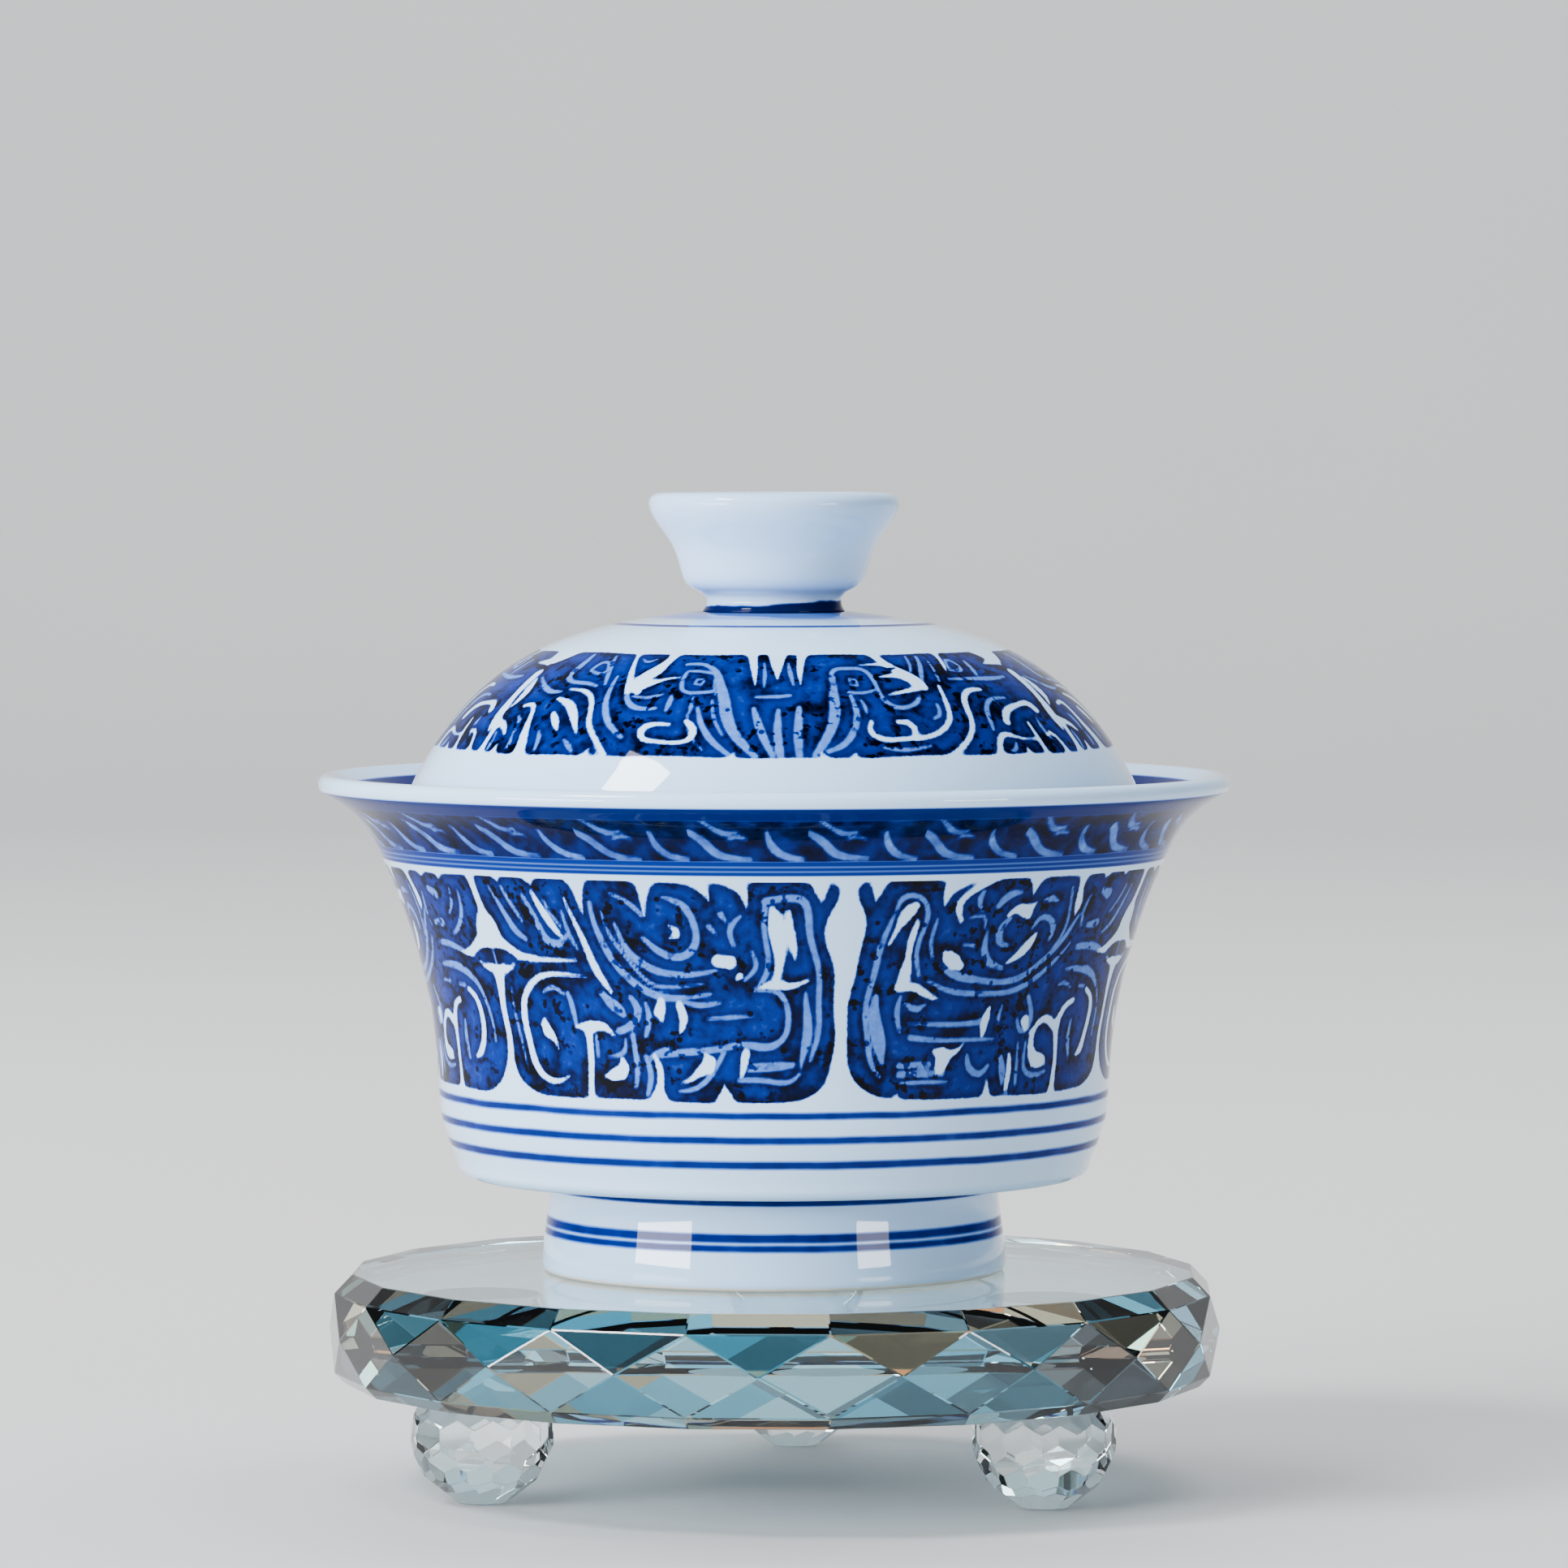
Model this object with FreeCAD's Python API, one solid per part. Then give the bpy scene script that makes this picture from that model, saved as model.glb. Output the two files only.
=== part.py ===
import FreeCAD, Part
import math
import os

# Lidded tea bowl (gaiwan) of painted porcelain on a cut-crystal stand.
# Millimetres.  +Z is up, the front of the tea bowl faces -Y, and the origin is on the
# surface the stand rests on, under the axis that bowl, lid and disc share.

# ---- Driving dimensions: bowl (heights are above the bottom of its foot ring) ----
mouth_radius = 51.0          # widest point of the rolled lip
bowl_height = 55.7
bowl_wall = 2.2
lip_lean = 34.0              # degrees above level in which the wall ends at the lip
belly_radius = 37.5          # where the wall stands upright
belly_height = 20.5
heel_inset = 3.5             # from the belly in to the outer end of the flat underside
heel_height = 10.8
heel_round = 1.5             # the turn from underside to wall
foot_radius = 25.2           # outside of the foot ring where it leaves the bowl
foot_height = 10.1
foot_flare = 0.8             # how far the foot ring widens on its way down
foot_wall = 2.6
foot_tip_round = 0.9
floor_thickness = 3.2

# ---- Driving dimensions: lid (heights are above its rounded edge) ----
lid_depth = 8.4              # lowest point of the lid's edge below the top of the lip
lid_rise = 26.5              # from there up to the flat crown
lid_wall = 2.2
lid_clearance = 0.15         # between the lid's edge and the inside of the bowl
crown_margin = 1.0           # flat crown showing round the knob's neck

# ---- Driving dimensions: knob (heights are above the lid's crown) ----
knob_mouth_radius = 14.05
knob_height = 13.3
knob_neck_radius = 7.55
knob_neck_height = 1.3
knob_root = 0.45             # how far the neck spreads where it is luted to the lid
knob_wall = 2.6
knob_floor = 5.4             # height of the bottom of the recess

# ---- Driving dimensions: stand ----
disc_radius = 50.0           # to the corners of the diamond facets on its side
disc_thickness = 12.3
disc_sides = 20
disc_top_bevel = 2.1         # height of the sloping bevel facets
disc_bottom_bevel = 1.3
disc_bevel_run = 2.0         # how far the top bevel draws in
ball_radius = 8.0
ball_sides = 12              # facets in each row
ball_rows = 7                # pole to pole, the first and last lost to the sole and the seat
ball_seat_radius = 6.9       # flat ground on top of each ball
ball_sole_radius = 2.6       # flat facet each ball stands on
ball_seat_margin = 0.5       # of the seat left round the adhesive
ball_inset = 14.2            # from the disc's corners in to the balls' centres
ball_count = 3
first_ball_azimuth = 86.0    # degrees anticlockwise from +X, so one ball is at the back
bond_thickness = 0.2
diamond_azimuth = -83.0      # degrees anticlockwise from +X, middle of one diamond


def point(place):
    """A (radius, height) pair as a point of the XZ half-plane."""
    return FreeCAD.Vector(place[0], 0, place[1])


def line(start, end):
    return Part.LineSegment(point(start), point(end)).toShape()


def arc(start, middle, end):
    return Part.Arc(point(start), point(middle), point(end)).toShape()


def spline(places, start_way, end_way):
    """A smooth curve through the places, with its direction given at both ends."""
    curve = Part.BSplineCurve()
    curve.interpolate(
        Points=[point(place) for place in places],
        InitialTangent=point(start_way),
        FinalTangent=point(end_way),
    )
    return curve


def turned(edges):
    """The solid that a closed outline sweeps round the Z axis."""
    outline = Part.Face(Part.Wire(edges))
    return outline.revolve(FreeCAD.Vector(0, 0, 0), FreeCAD.Vector(0, 0, 1), 360)


def beside(curve, start, shares, distance):
    """Places at a distance to the left of a curve, at shares of its run from start to its end."""
    first = curve.parameter(point(start))
    places = []
    for share in shares:
        parameter = first + (curve.LastParameter - first) * share
        on_curve = curve.value(parameter)
        way = curve.tangent(parameter)[0]
        places.append((on_curve.x - way.z * distance, on_curve.z + way.x * distance))
    return places


def between(start, end, shares):
    """Places between two (radius, height) corners, from (radius share, height share) pairs."""
    return [
        (start[0] + (end[0] - start[0]) * across, start[1] + (end[1] - start[1]) * up)
        for across, up in shares
    ]


def moved_up(shape, height):
    shape.translate(FreeCAD.Vector(0, 0, height))
    return shape


# ---- Heights of the stacked pieces above the surface ----
def sole_drop():
    """How far below a ball's centre its sole facet lies."""
    return math.sqrt(ball_radius ** 2 - ball_sole_radius ** 2)


def seat_rise():
    """How far above a ball's centre its ground seat lies."""
    return math.sqrt(ball_radius ** 2 - ball_seat_radius ** 2)


disc_bottom = sole_drop() + seat_rise() + bond_thickness
disc_top = disc_bottom + disc_thickness
ball_circle_radius = disc_radius - ball_inset


# ---- Bowl ----
crown_radius = knob_neck_radius + crown_margin
lip_round = bowl_wall / 2
lip_centre = (mouth_radius - lip_round, bowl_height - lip_round)
lip_way = (math.cos(math.radians(lip_lean)), math.sin(math.radians(lip_lean)))
lip_outside = (lip_centre[0] + lip_round * lip_way[1], lip_centre[1] - lip_round * lip_way[0])
lip_inside = (lip_centre[0] - lip_round * lip_way[1], lip_centre[1] + lip_round * lip_way[0])
lip_end = (lip_centre[0] + lip_round * lip_way[0], lip_centre[1] + lip_round * lip_way[1])


def outer_wall():
    """Outside of the bowl: a short cone above the heel, an upright belly, then the flare."""
    turn = (belly_radius - heel_inset + heel_round, heel_height + heel_round)
    belly = (belly_radius, belly_height)
    cone = between(turn, belly, [(0.0, 0.0), (0.55, 0.36), (0.9, 0.68)])
    flare = between(
        belly,
        lip_outside,
        [(0.0, 0.0), (0.07, 0.274), (0.24, 0.535), (0.443, 0.743), (0.69, 0.91), (1.0, 1.0)],
    )
    return spline(cone + flare, (0.35, 1.0), lip_way)


def inner_wall(outside):
    """Inside of the flare: the outside moved in by the wall's thickness, lip to belly."""
    belly = (belly_radius, belly_height)
    places = beside(outside, belly, [1.0, 0.88, 0.73, 0.56, 0.38, 0.2, 0.0], bowl_wall)
    return spline(places, (-lip_way[0], -lip_way[1]), (0.0, -1.0))


def well(start, floor_height):
    """Rounded bottom of the inside, a quarter of a squarish ellipse down to the axis."""
    squareness = 2.7
    steps = 6
    places = []
    for step in range(steps + 1):
        turn = math.pi / 2 * step / steps
        across = max(math.cos(turn), 0.0) ** (2 / squareness)
        down = math.sin(turn) ** (2 / squareness)
        places.append((start[0] * across, start[1] - (start[1] - floor_height) * down))
    places[-1] = (0.0, floor_height)
    return spline(places, (0.0, -1.0), (-1.0, 0.0))


def make_bowl(outside, inside):
    """The bowl in one piece with its foot ring, turned from one outline."""
    half_round = foot_tip_round * math.sqrt(0.5)
    foot_outside = foot_radius + foot_flare
    foot_inside = foot_outside - foot_wall
    tip_centres = (foot_outside - foot_tip_round, foot_inside + foot_tip_round)
    well_start = (inside.EndPoint.x, inside.EndPoint.z)
    floor_height = foot_height + floor_thickness
    underside = (foot_radius, foot_height)
    heel = (belly_radius - heel_inset, heel_height)
    turn_middle = (
        heel[0] + heel_round * math.sqrt(0.5),
        heel_height + heel_round * (1 - math.sqrt(0.5)),
    )
    turn_end = (heel[0] + heel_round, heel_height + heel_round)
    foot_side = spline(
        [underside, (foot_radius + foot_flare * 0.3, foot_height * 0.62), (foot_outside, foot_tip_round)],
        (0.0, -1.0),
        (0.0, -1.0),
    )
    edges = [
        outside.toShape(),
        arc(lip_outside, lip_end, lip_inside),
        inside.toShape(),
        well(well_start, floor_height).toShape(),
        line((0, floor_height), (0, foot_height)),
        line((0, foot_height), (foot_inside, foot_height)),
        line((foot_inside, foot_height), (foot_inside, foot_tip_round)),
        arc(
            (foot_inside, foot_tip_round),
            (tip_centres[1] - half_round, foot_tip_round - half_round),
            (tip_centres[1], 0),
        ),
        line((tip_centres[1], 0), (tip_centres[0], 0)),
        arc(
            (tip_centres[0], 0),
            (tip_centres[0] + half_round, foot_tip_round - half_round),
            (foot_outside, foot_tip_round),
        ),
        foot_side.toShape(),
        line(underside, heel),
        arc(heel, turn_middle, turn_end),
    ]
    return turned(edges)


# ---- Lid ----
def lid_edge_radius(inside):
    """Radius at which the lid's round edge meets the bowl's flare, less its clearance."""
    edge_round = lid_wall / 2
    height = bowl_height - lid_depth + edge_round
    low, high = 0.0, mouth_radius
    for _ in range(40):
        radius = (low + high) / 2
        centre = point((radius, height))
        nearest = inside.value(inside.parameter(centre))
        if nearest.x < radius or nearest.distanceToPoint(centre) < edge_round + lid_clearance:
            high = radius
        else:
            low = radius
    return low + edge_round


def make_lid(edge_radius):
    """The dome, a shell of even thickness with a round edge."""
    edge_round = lid_wall / 2
    edge = (edge_radius, edge_round)
    crown = (crown_radius, lid_rise)
    dome = [(0.0, 0.0), (0.105, 0.376), (0.234, 0.604), (0.431, 0.805), (0.737, 0.95), (1.0, 1.0)]
    outside = spline(between(edge, crown, dome), (0.0, 1.0), (-1.0, 0.12))
    places = beside(outside, edge, [1.0, 0.85, 0.68, 0.5, 0.32, 0.15, 0.0], lid_wall)
    inside = spline(places, (1.0, -0.12), (0.0, -1.0))
    edges = [
        outside.toShape(),
        line(crown, (0, lid_rise)),
        line((0, lid_rise), (0, places[0][1])),
        line((0, places[0][1]), places[0]),
        inside.toShape(),
        arc(places[-1], (edge_radius - edge_round, 0), edge),
    ]
    return turned(edges)


# ---- Knob ----
def make_knob():
    """A flared ring on a narrow neck, with a bowl-shaped recess in its top."""
    rim_round = knob_wall / 2
    root = (knob_neck_radius + knob_root, 0)
    neck = (knob_neck_radius, knob_neck_height)
    rim = (knob_mouth_radius, knob_height - rim_round)
    ogee = [(0.0, 0.0), (0.3, 0.14), (0.46, 0.34), (0.58, 0.55), (0.82, 0.77), (1.0, 1.0)]
    outside = spline(between(neck, rim, ogee), (0.1, 1.0), (0.1, 1.0))
    recess_rim = (knob_mouth_radius - knob_wall, knob_height - rim_round)
    hollow = [(0.0, 0.0), (0.2, 0.45), (0.45, 0.82), (1.0, 1.0)]
    inside = spline(between(recess_rim, (0.0, knob_floor), hollow), (-0.15, -1.0), (-1.0, 0.0))
    edges = [
        line((0, 0), root),
        arc(root, (knob_neck_radius + knob_root * 0.2, knob_neck_height * 0.45), neck),
        outside.toShape(),
        arc(rim, (knob_mouth_radius - rim_round, knob_height), recess_rim),
        inside.toShape(),
        line((0, knob_floor), (0, 0)),
    ]
    return turned(edges)


# ---- Cut crystal ----
def plane(azimuth, slope, distance):
    """A flat cut: its outward direction (degrees round Z and above level) and its distance."""
    turn, rise = math.radians(azimuth), math.radians(slope)
    way = FreeCAD.Vector(
        math.cos(rise) * math.cos(turn),
        math.cos(rise) * math.sin(turn),
        math.sin(rise),
    )
    return way, distance


def slope_plane(azimuth, low, high):
    """The flat cut facing azimuth that holds two (apothem, height) places."""
    slope = math.degrees(math.atan2(low[0] - high[0], high[1] - low[1]))
    rise = math.radians(slope)
    return plane(azimuth, slope, low[0] * math.cos(rise) + low[1] * math.sin(rise))


def cut_polygon(corners, way, distance):
    """What is left of a flat polygon inside one cut."""
    kept = []
    for index, corner in enumerate(corners):
        after = corners[(index + 1) % len(corners)]
        here = way.dot(corner) - distance
        there = way.dot(after) - distance
        if here <= 0:
            kept.append(corner)
        if (here < 0 < there) or (there < 0 < here):
            kept.append(corner + (after - corner) * (here / (here - there)))
    return kept


def without_doubles(corners):
    """The polygon's corners, with neighbours closer than a ten-thousandth taken as one."""
    kept = []
    for corner in corners:
        if not kept or corner.distanceToPoint(kept[-1]) > 1e-4:
            kept.append(corner)
    if len(kept) > 1 and kept[0].distanceToPoint(kept[-1]) <= 1e-4:
        kept.pop()
    return kept


def cut_solid(planes, reach):
    """The solid inside all the flat cuts, with one polygon face for each."""
    faces = []
    for index, (way, distance) in enumerate(planes):
        side = way.cross(FreeCAD.Vector(0, 0, 1))
        if side.Length < 1e-6:
            side = FreeCAD.Vector(1, 0, 0)
        side.normalize()
        up = way.cross(side)
        centre = way * distance
        corners = [
            centre + side * (reach * across) + up * (reach * along)
            for across, along in [(1, 1), (-1, 1), (-1, -1), (1, -1)]
        ]
        for other, (other_way, other_distance) in enumerate(planes):
            if other != index:
                corners = cut_polygon(corners, other_way, other_distance)
        corners = without_doubles(corners)
        if len(corners) > 2:
            faces.append(Part.Face(Part.makePolygon(corners + corners[:1])))
    skin = Part.Compound(faces)
    skin.sewShape(0.001)
    solid = Part.Solid(Part.Shell(skin.Faces))
    if solid.Volume < 0:
        solid.reverse()
    return solid


def make_disc():
    """Side of the disc: a band of upright diamonds between sloping kites, bevelled both ends."""
    step = 360 / disc_sides
    half_step = math.radians(step / 2)
    diamond_radius = disc_radius * math.cos(half_step)
    bevel_radius = diamond_radius * math.cos(half_step)
    top_bevel = (bevel_radius, disc_thickness - disc_top_bevel)
    bottom_bevel = (bevel_radius, disc_bottom_bevel)
    girdle = (disc_radius, (top_bevel[1] + bottom_bevel[1]) / 2)
    planes = [plane(0, 90, disc_thickness), plane(0, -90, 0)]
    for side in range(disc_sides):
        diamond = diamond_azimuth + side * step
        kite = diamond + step / 2
        planes.append(plane(diamond, 0, diamond_radius))
        planes.append(slope_plane(kite, girdle, top_bevel))
        planes.append(slope_plane(kite, bottom_bevel, girdle))
        planes.append(slope_plane(kite, top_bevel, (bevel_radius - disc_bevel_run, disc_thickness)))
        planes.append(slope_plane(kite, (bevel_radius - disc_bottom_bevel, 0), bottom_bevel))
    return moved_up(cut_solid(planes, 2 * disc_radius), disc_bottom)


def make_ball(azimuth):
    """A ball cut in staggered rows of six-sided facets, with a ground seat and a flat sole."""
    row_step = 180 / ball_rows
    half_side = 180 / ball_sides
    corner_rise = (row_step ** 2 - half_side ** 2) / (2 * row_step)
    facet_depth = ball_radius * math.cos(math.radians(math.hypot(half_side, corner_rise)))
    planes = [plane(0, 90, seat_rise()), plane(0, -90, sole_drop())]
    for row in range(1, ball_rows - 1):
        slope = -90 + row_step * (row + 0.5)
        for side in range(ball_sides):
            turn = azimuth + (2 * side + row % 2) * half_side
            planes.append(plane(turn, slope, facet_depth))
    ball = cut_solid(planes, 2 * ball_radius)
    turn = math.radians(azimuth)
    ball.translate(
        FreeCAD.Vector(
            ball_circle_radius * math.cos(turn),
            ball_circle_radius * math.sin(turn),
            sole_drop(),
        )
    )
    return ball


def make_bond(azimuth):
    """The thin clear pad of adhesive that holds one ball to the disc."""
    turn = math.radians(azimuth)
    bottom = FreeCAD.Vector(
        ball_circle_radius * math.cos(turn),
        ball_circle_radius * math.sin(turn),
        disc_bottom - bond_thickness,
    )
    return Part.makeCylinder(ball_seat_radius - ball_seat_margin, bond_thickness, bottom)


def main():
    outside = outer_wall()
    inside = inner_wall(outside)
    lid_bottom = disc_top + bowl_height - lid_depth
    pieces = {
        "bowl": moved_up(make_bowl(outside, inside), disc_top),
        "lid": moved_up(make_lid(lid_edge_radius(inside)), lid_bottom),
        "lid_knob": moved_up(make_knob(), lid_bottom + lid_rise),
        "stand_disc": make_disc(),
    }
    for number in range(1, ball_count + 1):
        azimuth = first_ball_azimuth + (number - 1) * 360 / ball_count
        pieces["foot_ball_%d" % number] = make_ball(azimuth)
        pieces["foot_bond_%d" % number] = make_bond(azimuth)
    os.makedirs("parts", exist_ok=True)
    for name, shape in pieces.items():
        shape.exportStep("parts/%s.step" % name)
        box = shape.BoundBox
        print(
            "%-12s valid %s  volume %8.1f mm3  z %6.2f to %6.2f  x %6.2f to %6.2f"
            % (name, shape.isValid(), shape.Volume, box.ZMin, box.ZMax, box.XMin, box.XMax)
        )


main()
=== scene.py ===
# %% [markdown]
# # A lidded tea bowl on a cut-crystal stand
# The bowl, its lid and the lid's knob are white porcelain, painted in cobalt blue under a
# clear glaze.  They stand on a disc of cut crystal with three faceted balls for feet.
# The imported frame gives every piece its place, so it is loaded first and measured.

# %% Load the frame
import math

import bmesh
import bpy
import numpy as np
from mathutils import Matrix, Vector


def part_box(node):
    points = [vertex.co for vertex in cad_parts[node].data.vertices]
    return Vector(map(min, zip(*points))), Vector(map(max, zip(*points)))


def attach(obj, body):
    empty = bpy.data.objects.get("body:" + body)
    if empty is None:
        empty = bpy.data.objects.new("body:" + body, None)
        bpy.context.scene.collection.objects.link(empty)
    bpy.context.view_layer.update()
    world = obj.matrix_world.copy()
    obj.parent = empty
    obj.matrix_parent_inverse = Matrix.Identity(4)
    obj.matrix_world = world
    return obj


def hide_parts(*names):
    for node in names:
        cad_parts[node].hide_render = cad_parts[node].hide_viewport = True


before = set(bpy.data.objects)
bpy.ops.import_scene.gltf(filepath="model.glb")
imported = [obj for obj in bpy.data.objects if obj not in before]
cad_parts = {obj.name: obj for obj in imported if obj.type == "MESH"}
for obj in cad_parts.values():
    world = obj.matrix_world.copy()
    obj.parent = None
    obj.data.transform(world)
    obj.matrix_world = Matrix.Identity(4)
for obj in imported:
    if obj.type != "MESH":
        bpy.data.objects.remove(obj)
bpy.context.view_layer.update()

MM = 0.001
stand_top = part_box("stand_disc")[1][2] / MM
lip_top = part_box("bowl")[1][2] / MM
lid_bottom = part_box("lid")[0][2] / MM
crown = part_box("lid")[1][2] / MM
knob_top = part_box("lid_knob")[1][2] / MM
print("heights in mm: stand", round(stand_top, 2), "lip", round(lip_top, 2), "knob", round(knob_top, 2))

# %% [markdown]
# ## Curves
# Thrown and turned ware is all smooth curves, and so is brushwork.  Both come from one tool
# here: a cubic spline through a few chosen points.  It is what a bent wire would do, so the
# shape needs only the points where the potter's rib or the painter's brush changed its mind.

# %% A smooth curve through points
def spline(points, start_way=None, end_way=None):
    """Cubic spline through points, with its parameter running along the straight chords.
    The slopes m solve, at each inner point, m0/h0 + 2 m1 (1/h0 + 1/h1) + m2/h1 =
    3 (rise0/h0^2 + rise1/h1^2); an end has its given way, or no curvature."""
    points = np.asarray(points, float)
    rise = np.diff(points, axis=0)
    h = np.hypot(rise[:, 0], rise[:, 1])
    n = len(points)
    left = np.zeros((n, n))
    right = np.zeros((n, points.shape[1]))
    inner = np.arange(1, n - 1)
    left[inner, inner - 1] = 1 / h[:-1]
    left[inner, inner] = 2 / h[:-1] + 2 / h[1:]
    left[inner, inner + 1] = 1 / h[1:]
    right[1:-1] = 3 * (rise[:-1] / h[:-1, None] ** 2 + rise[1:] / h[1:, None] ** 2)
    for end, way, near in ((0, start_way, 1), (n - 1, end_way, n - 2)):
        if way is None:
            step = min(end, near)
            left[end, end], left[end, near] = 2, 1
            right[end] = 3 * rise[step] / h[step]
        else:
            left[end, end] = 1
            right[end, :2] = np.asarray(way, float) / np.hypot(*way)
    return points, h, np.linalg.solve(left, right)


def along(curve, shares):
    """Places on a spline at shares 0..1 of its chord length, by the Hermite formula."""
    points, h, slope = curve
    at = np.concatenate([[0], np.cumsum(h)])
    s = np.asarray(shares, float) * at[-1]
    k = np.clip(np.searchsorted(at, s, side="right") - 1, 0, len(h) - 1)
    t = ((s - at[k]) / h[k])[:, None]
    span = h[k][:, None]
    a, b = points[k], points[k + 1]
    return (
        a * (1 + 2 * t) * (1 - t) ** 2
        + b * t**2 * (3 - 2 * t)
        + span * slope[k] * t * (1 - t) ** 2
        - span * slope[k + 1] * t**2 * (1 - t)
    )


def even(path, gap):
    """The same path with its points about a gap apart, measured along it."""
    run = np.concatenate([[0], np.cumsum(np.hypot(*np.diff(path[:, :2], axis=0).T))])
    steps = max(2, int(round(run[-1] / gap)) + 1)
    at = np.linspace(0, run[-1], steps)
    return np.stack([np.interp(at, run, column) for column in path.T], axis=1)


def arc(centre, radius, start, end, gap):
    """Points on part of a circle, from one angle to another, in degrees."""
    steps = max(3, int(math.radians(abs(end - start)) * radius / gap) + 2)
    turn = np.radians(np.linspace(start, end, steps))
    return np.stack([centre[0] + radius * np.cos(turn), centre[1] + radius * np.sin(turn)], axis=1)


def between(start, end, shares):
    """Places between two corners, from pairs of shares across and up."""
    start, end = np.asarray(start, float), np.asarray(end, float)
    return start + (end - start) * np.asarray(shares, float)


# %% [markdown]
# ## Turned shapes
# A potter's wheel makes a surface of revolution: one outline, carried round the axis.  Each
# point of the outline becomes a ring of vertices.  Painted bands need far finer rings than
# plain glaze does, so a ring may hold a whole number of times as many vertices as its
# neighbour, and the strip between them is a row of faces with that many edges on one side.

# %% Turn an outline into a closed mesh
def turned(name, outline, counts):
    """Ring i is a circle of counts[i] vertices of radius outline[i][0] at height
    outline[i][1]; a count of 1 is a point on the axis.  The outline's signed area, half the
    sum of r0 z1 - r1 z0, says on which side the material is, so that faces point outward."""
    counts = np.asarray(counts)
    r, z = outline.T
    material_left = np.sum(r[:-1] * z[1:] - r[1:] * z[:-1]) > 0
    first = np.concatenate([[0], np.cumsum(counts)])
    ring = np.repeat(np.arange(len(counts)), counts)
    turn = 2 * np.pi * (np.arange(first[-1]) - first[ring]) / counts[ring]
    radius = np.where(counts[ring] == 1, 0.0, outline[ring, 0])
    vertices = np.stack([radius * np.sin(turn), -radius * np.cos(turn), outline[ring, 1]], axis=1)
    loops, sizes = [], []
    for low in range(len(counts) - 1):
        a, b = int(counts[low]), int(counts[low + 1])
        few, many = min(a, b), max(a, b)
        fold = many // few
        k = np.arange(few)[:, None]
        few_first, many_first = (first[low], first[low + 1]) if a <= b else (first[low + 1], first[low])
        row = many_first + (k * fold + np.arange(fold + 1)) % many
        if few == 1:
            row = many_first + (np.arange(many)[:, None] + np.arange(2)) % many
            k = np.zeros((many, 1), int)
            faces = np.concatenate([few_first + k, row], axis=1)
        else:
            faces = np.concatenate([few_first + (k + 1) % few, few_first + k, row], axis=1)
        if (a > b) != material_left:
            faces = faces[:, ::-1]
        loops.append(faces.ravel())
        sizes.append(np.full(len(faces), faces.shape[1]))
    loops, sizes = np.concatenate(loops), np.concatenate(sizes)
    mesh = bpy.data.meshes.new(name)
    mesh.vertices.add(len(vertices))
    mesh.vertices.foreach_set("co", (vertices * MM).astype(np.float32).ravel())
    mesh.loops.add(len(loops))
    mesh.loops.foreach_set("vertex_index", loops.astype(np.int32))
    mesh.polygons.add(len(sizes))
    starts = np.concatenate([[0], np.cumsum(sizes)[:-1]])
    mesh.polygons.foreach_set("loop_start", starts.astype(np.int32))
    mesh.polygons.foreach_set("use_smooth", np.ones(len(sizes), bool))
    mesh.update(calc_edges=True)
    mesh.validate()
    piece = bpy.data.objects.new(name, mesh)
    bpy.context.scene.collection.objects.link(piece)
    triangles = int((sizes - 2).sum())
    print(name, "has", len(counts), "rings and", triangles, "triangles")
    return piece, vertices, ring


def volume(piece):
    """Signed volume in cubic centimetres: each face's corner fan, a . (b x c) / 6."""
    mesh = piece.data
    mesh.calc_loop_triangles()
    corner = np.zeros(len(mesh.loop_triangles) * 3, np.int32)
    mesh.loop_triangles.foreach_get("vertices", corner)
    place = np.zeros(len(mesh.vertices) * 3, np.float32)
    mesh.vertices.foreach_get("co", place)
    a, b, c = place.reshape(-1, 3)[corner].reshape(-1, 3, 3).transpose(1, 0, 2).astype(float)
    return float((a * np.cross(b, c)).sum() / 6 * 1e6)


def give(piece, name, values):
    """Stores one number per vertex for the material to read."""
    layer = piece.data.attributes.new(name, "FLOAT", "POINT")
    layer.data.foreach_set("value", np.asarray(values, np.float32))


# %% [markdown]
# ## Brushwork
# The frieze is drawn with a brush: each stroke is a smooth line that swells and thins.  A
# stroke is kept as a few points of (degrees from the middle line of the motif, height in mm,
# half width in mm).  The motif goes round three times.  Its left and right halves answer each
# other like a pair of doors, but each was painted freely, so each has its own strokes.  Blue
# is laid over the whole band and white is what the brush leaves out; a pale line is one wash.

# %% The white gaps that frame each half, and the leaf between two tails
GAPS = [
    [(0, 71, 1.9), (0, 69.8, 1.15), (0, 68.6, 1), (0, 67, 1.4), (0, 65, 2.1), (0, 62.5, 1.7),
     (0, 60, 1.2), (0, 57, 0.9), (0, 53, 0.72), (0, 50.5, 0.85), (0, 48.5, 1.1), (0, 45, 1.8)],
    [(0.6, 49.2, 0.4), (1.8, 47.6, 0.6), (3.6, 46.4, 0.7), (6.6, 45.5, 0.6), (9, 45.2, 0.4)],
    [(60, 70.8, 0.6), (60, 67.5, 0.5), (60, 65.5, 0.9), (60, 63.7, 1.8), (60, 62.4, 1.2)],
    [(60, 62.9, 1.3), (57, 62, 1), (53.5, 61.2, 0.5), (51, 61.1, 0.15)],
    [(60, 59.8, 1), (60, 57, 0.6), (60, 52, 0.5), (60, 49.5, 0.6), (60, 47, 1), (60, 45, 1.4)],
    [(59.5, 48.6, 0.4), (58.2, 47.2, 0.55), (56.2, 46.2, 0.6), (53.4, 45.4, 0.5)],
    [(60, 60, 0.6), (57.6, 59.7, 0.4), (55.6, 60.2, 0.1)],
]
LEAVES = [
    [(60, 61, 0.85), (57.2, 61.05, 0.7), (54.6, 60.7, 0.15)],
]
TICKS = [
    [(60, 61.8, 0.14), (60, 60.2, 0.14)],
]

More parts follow.
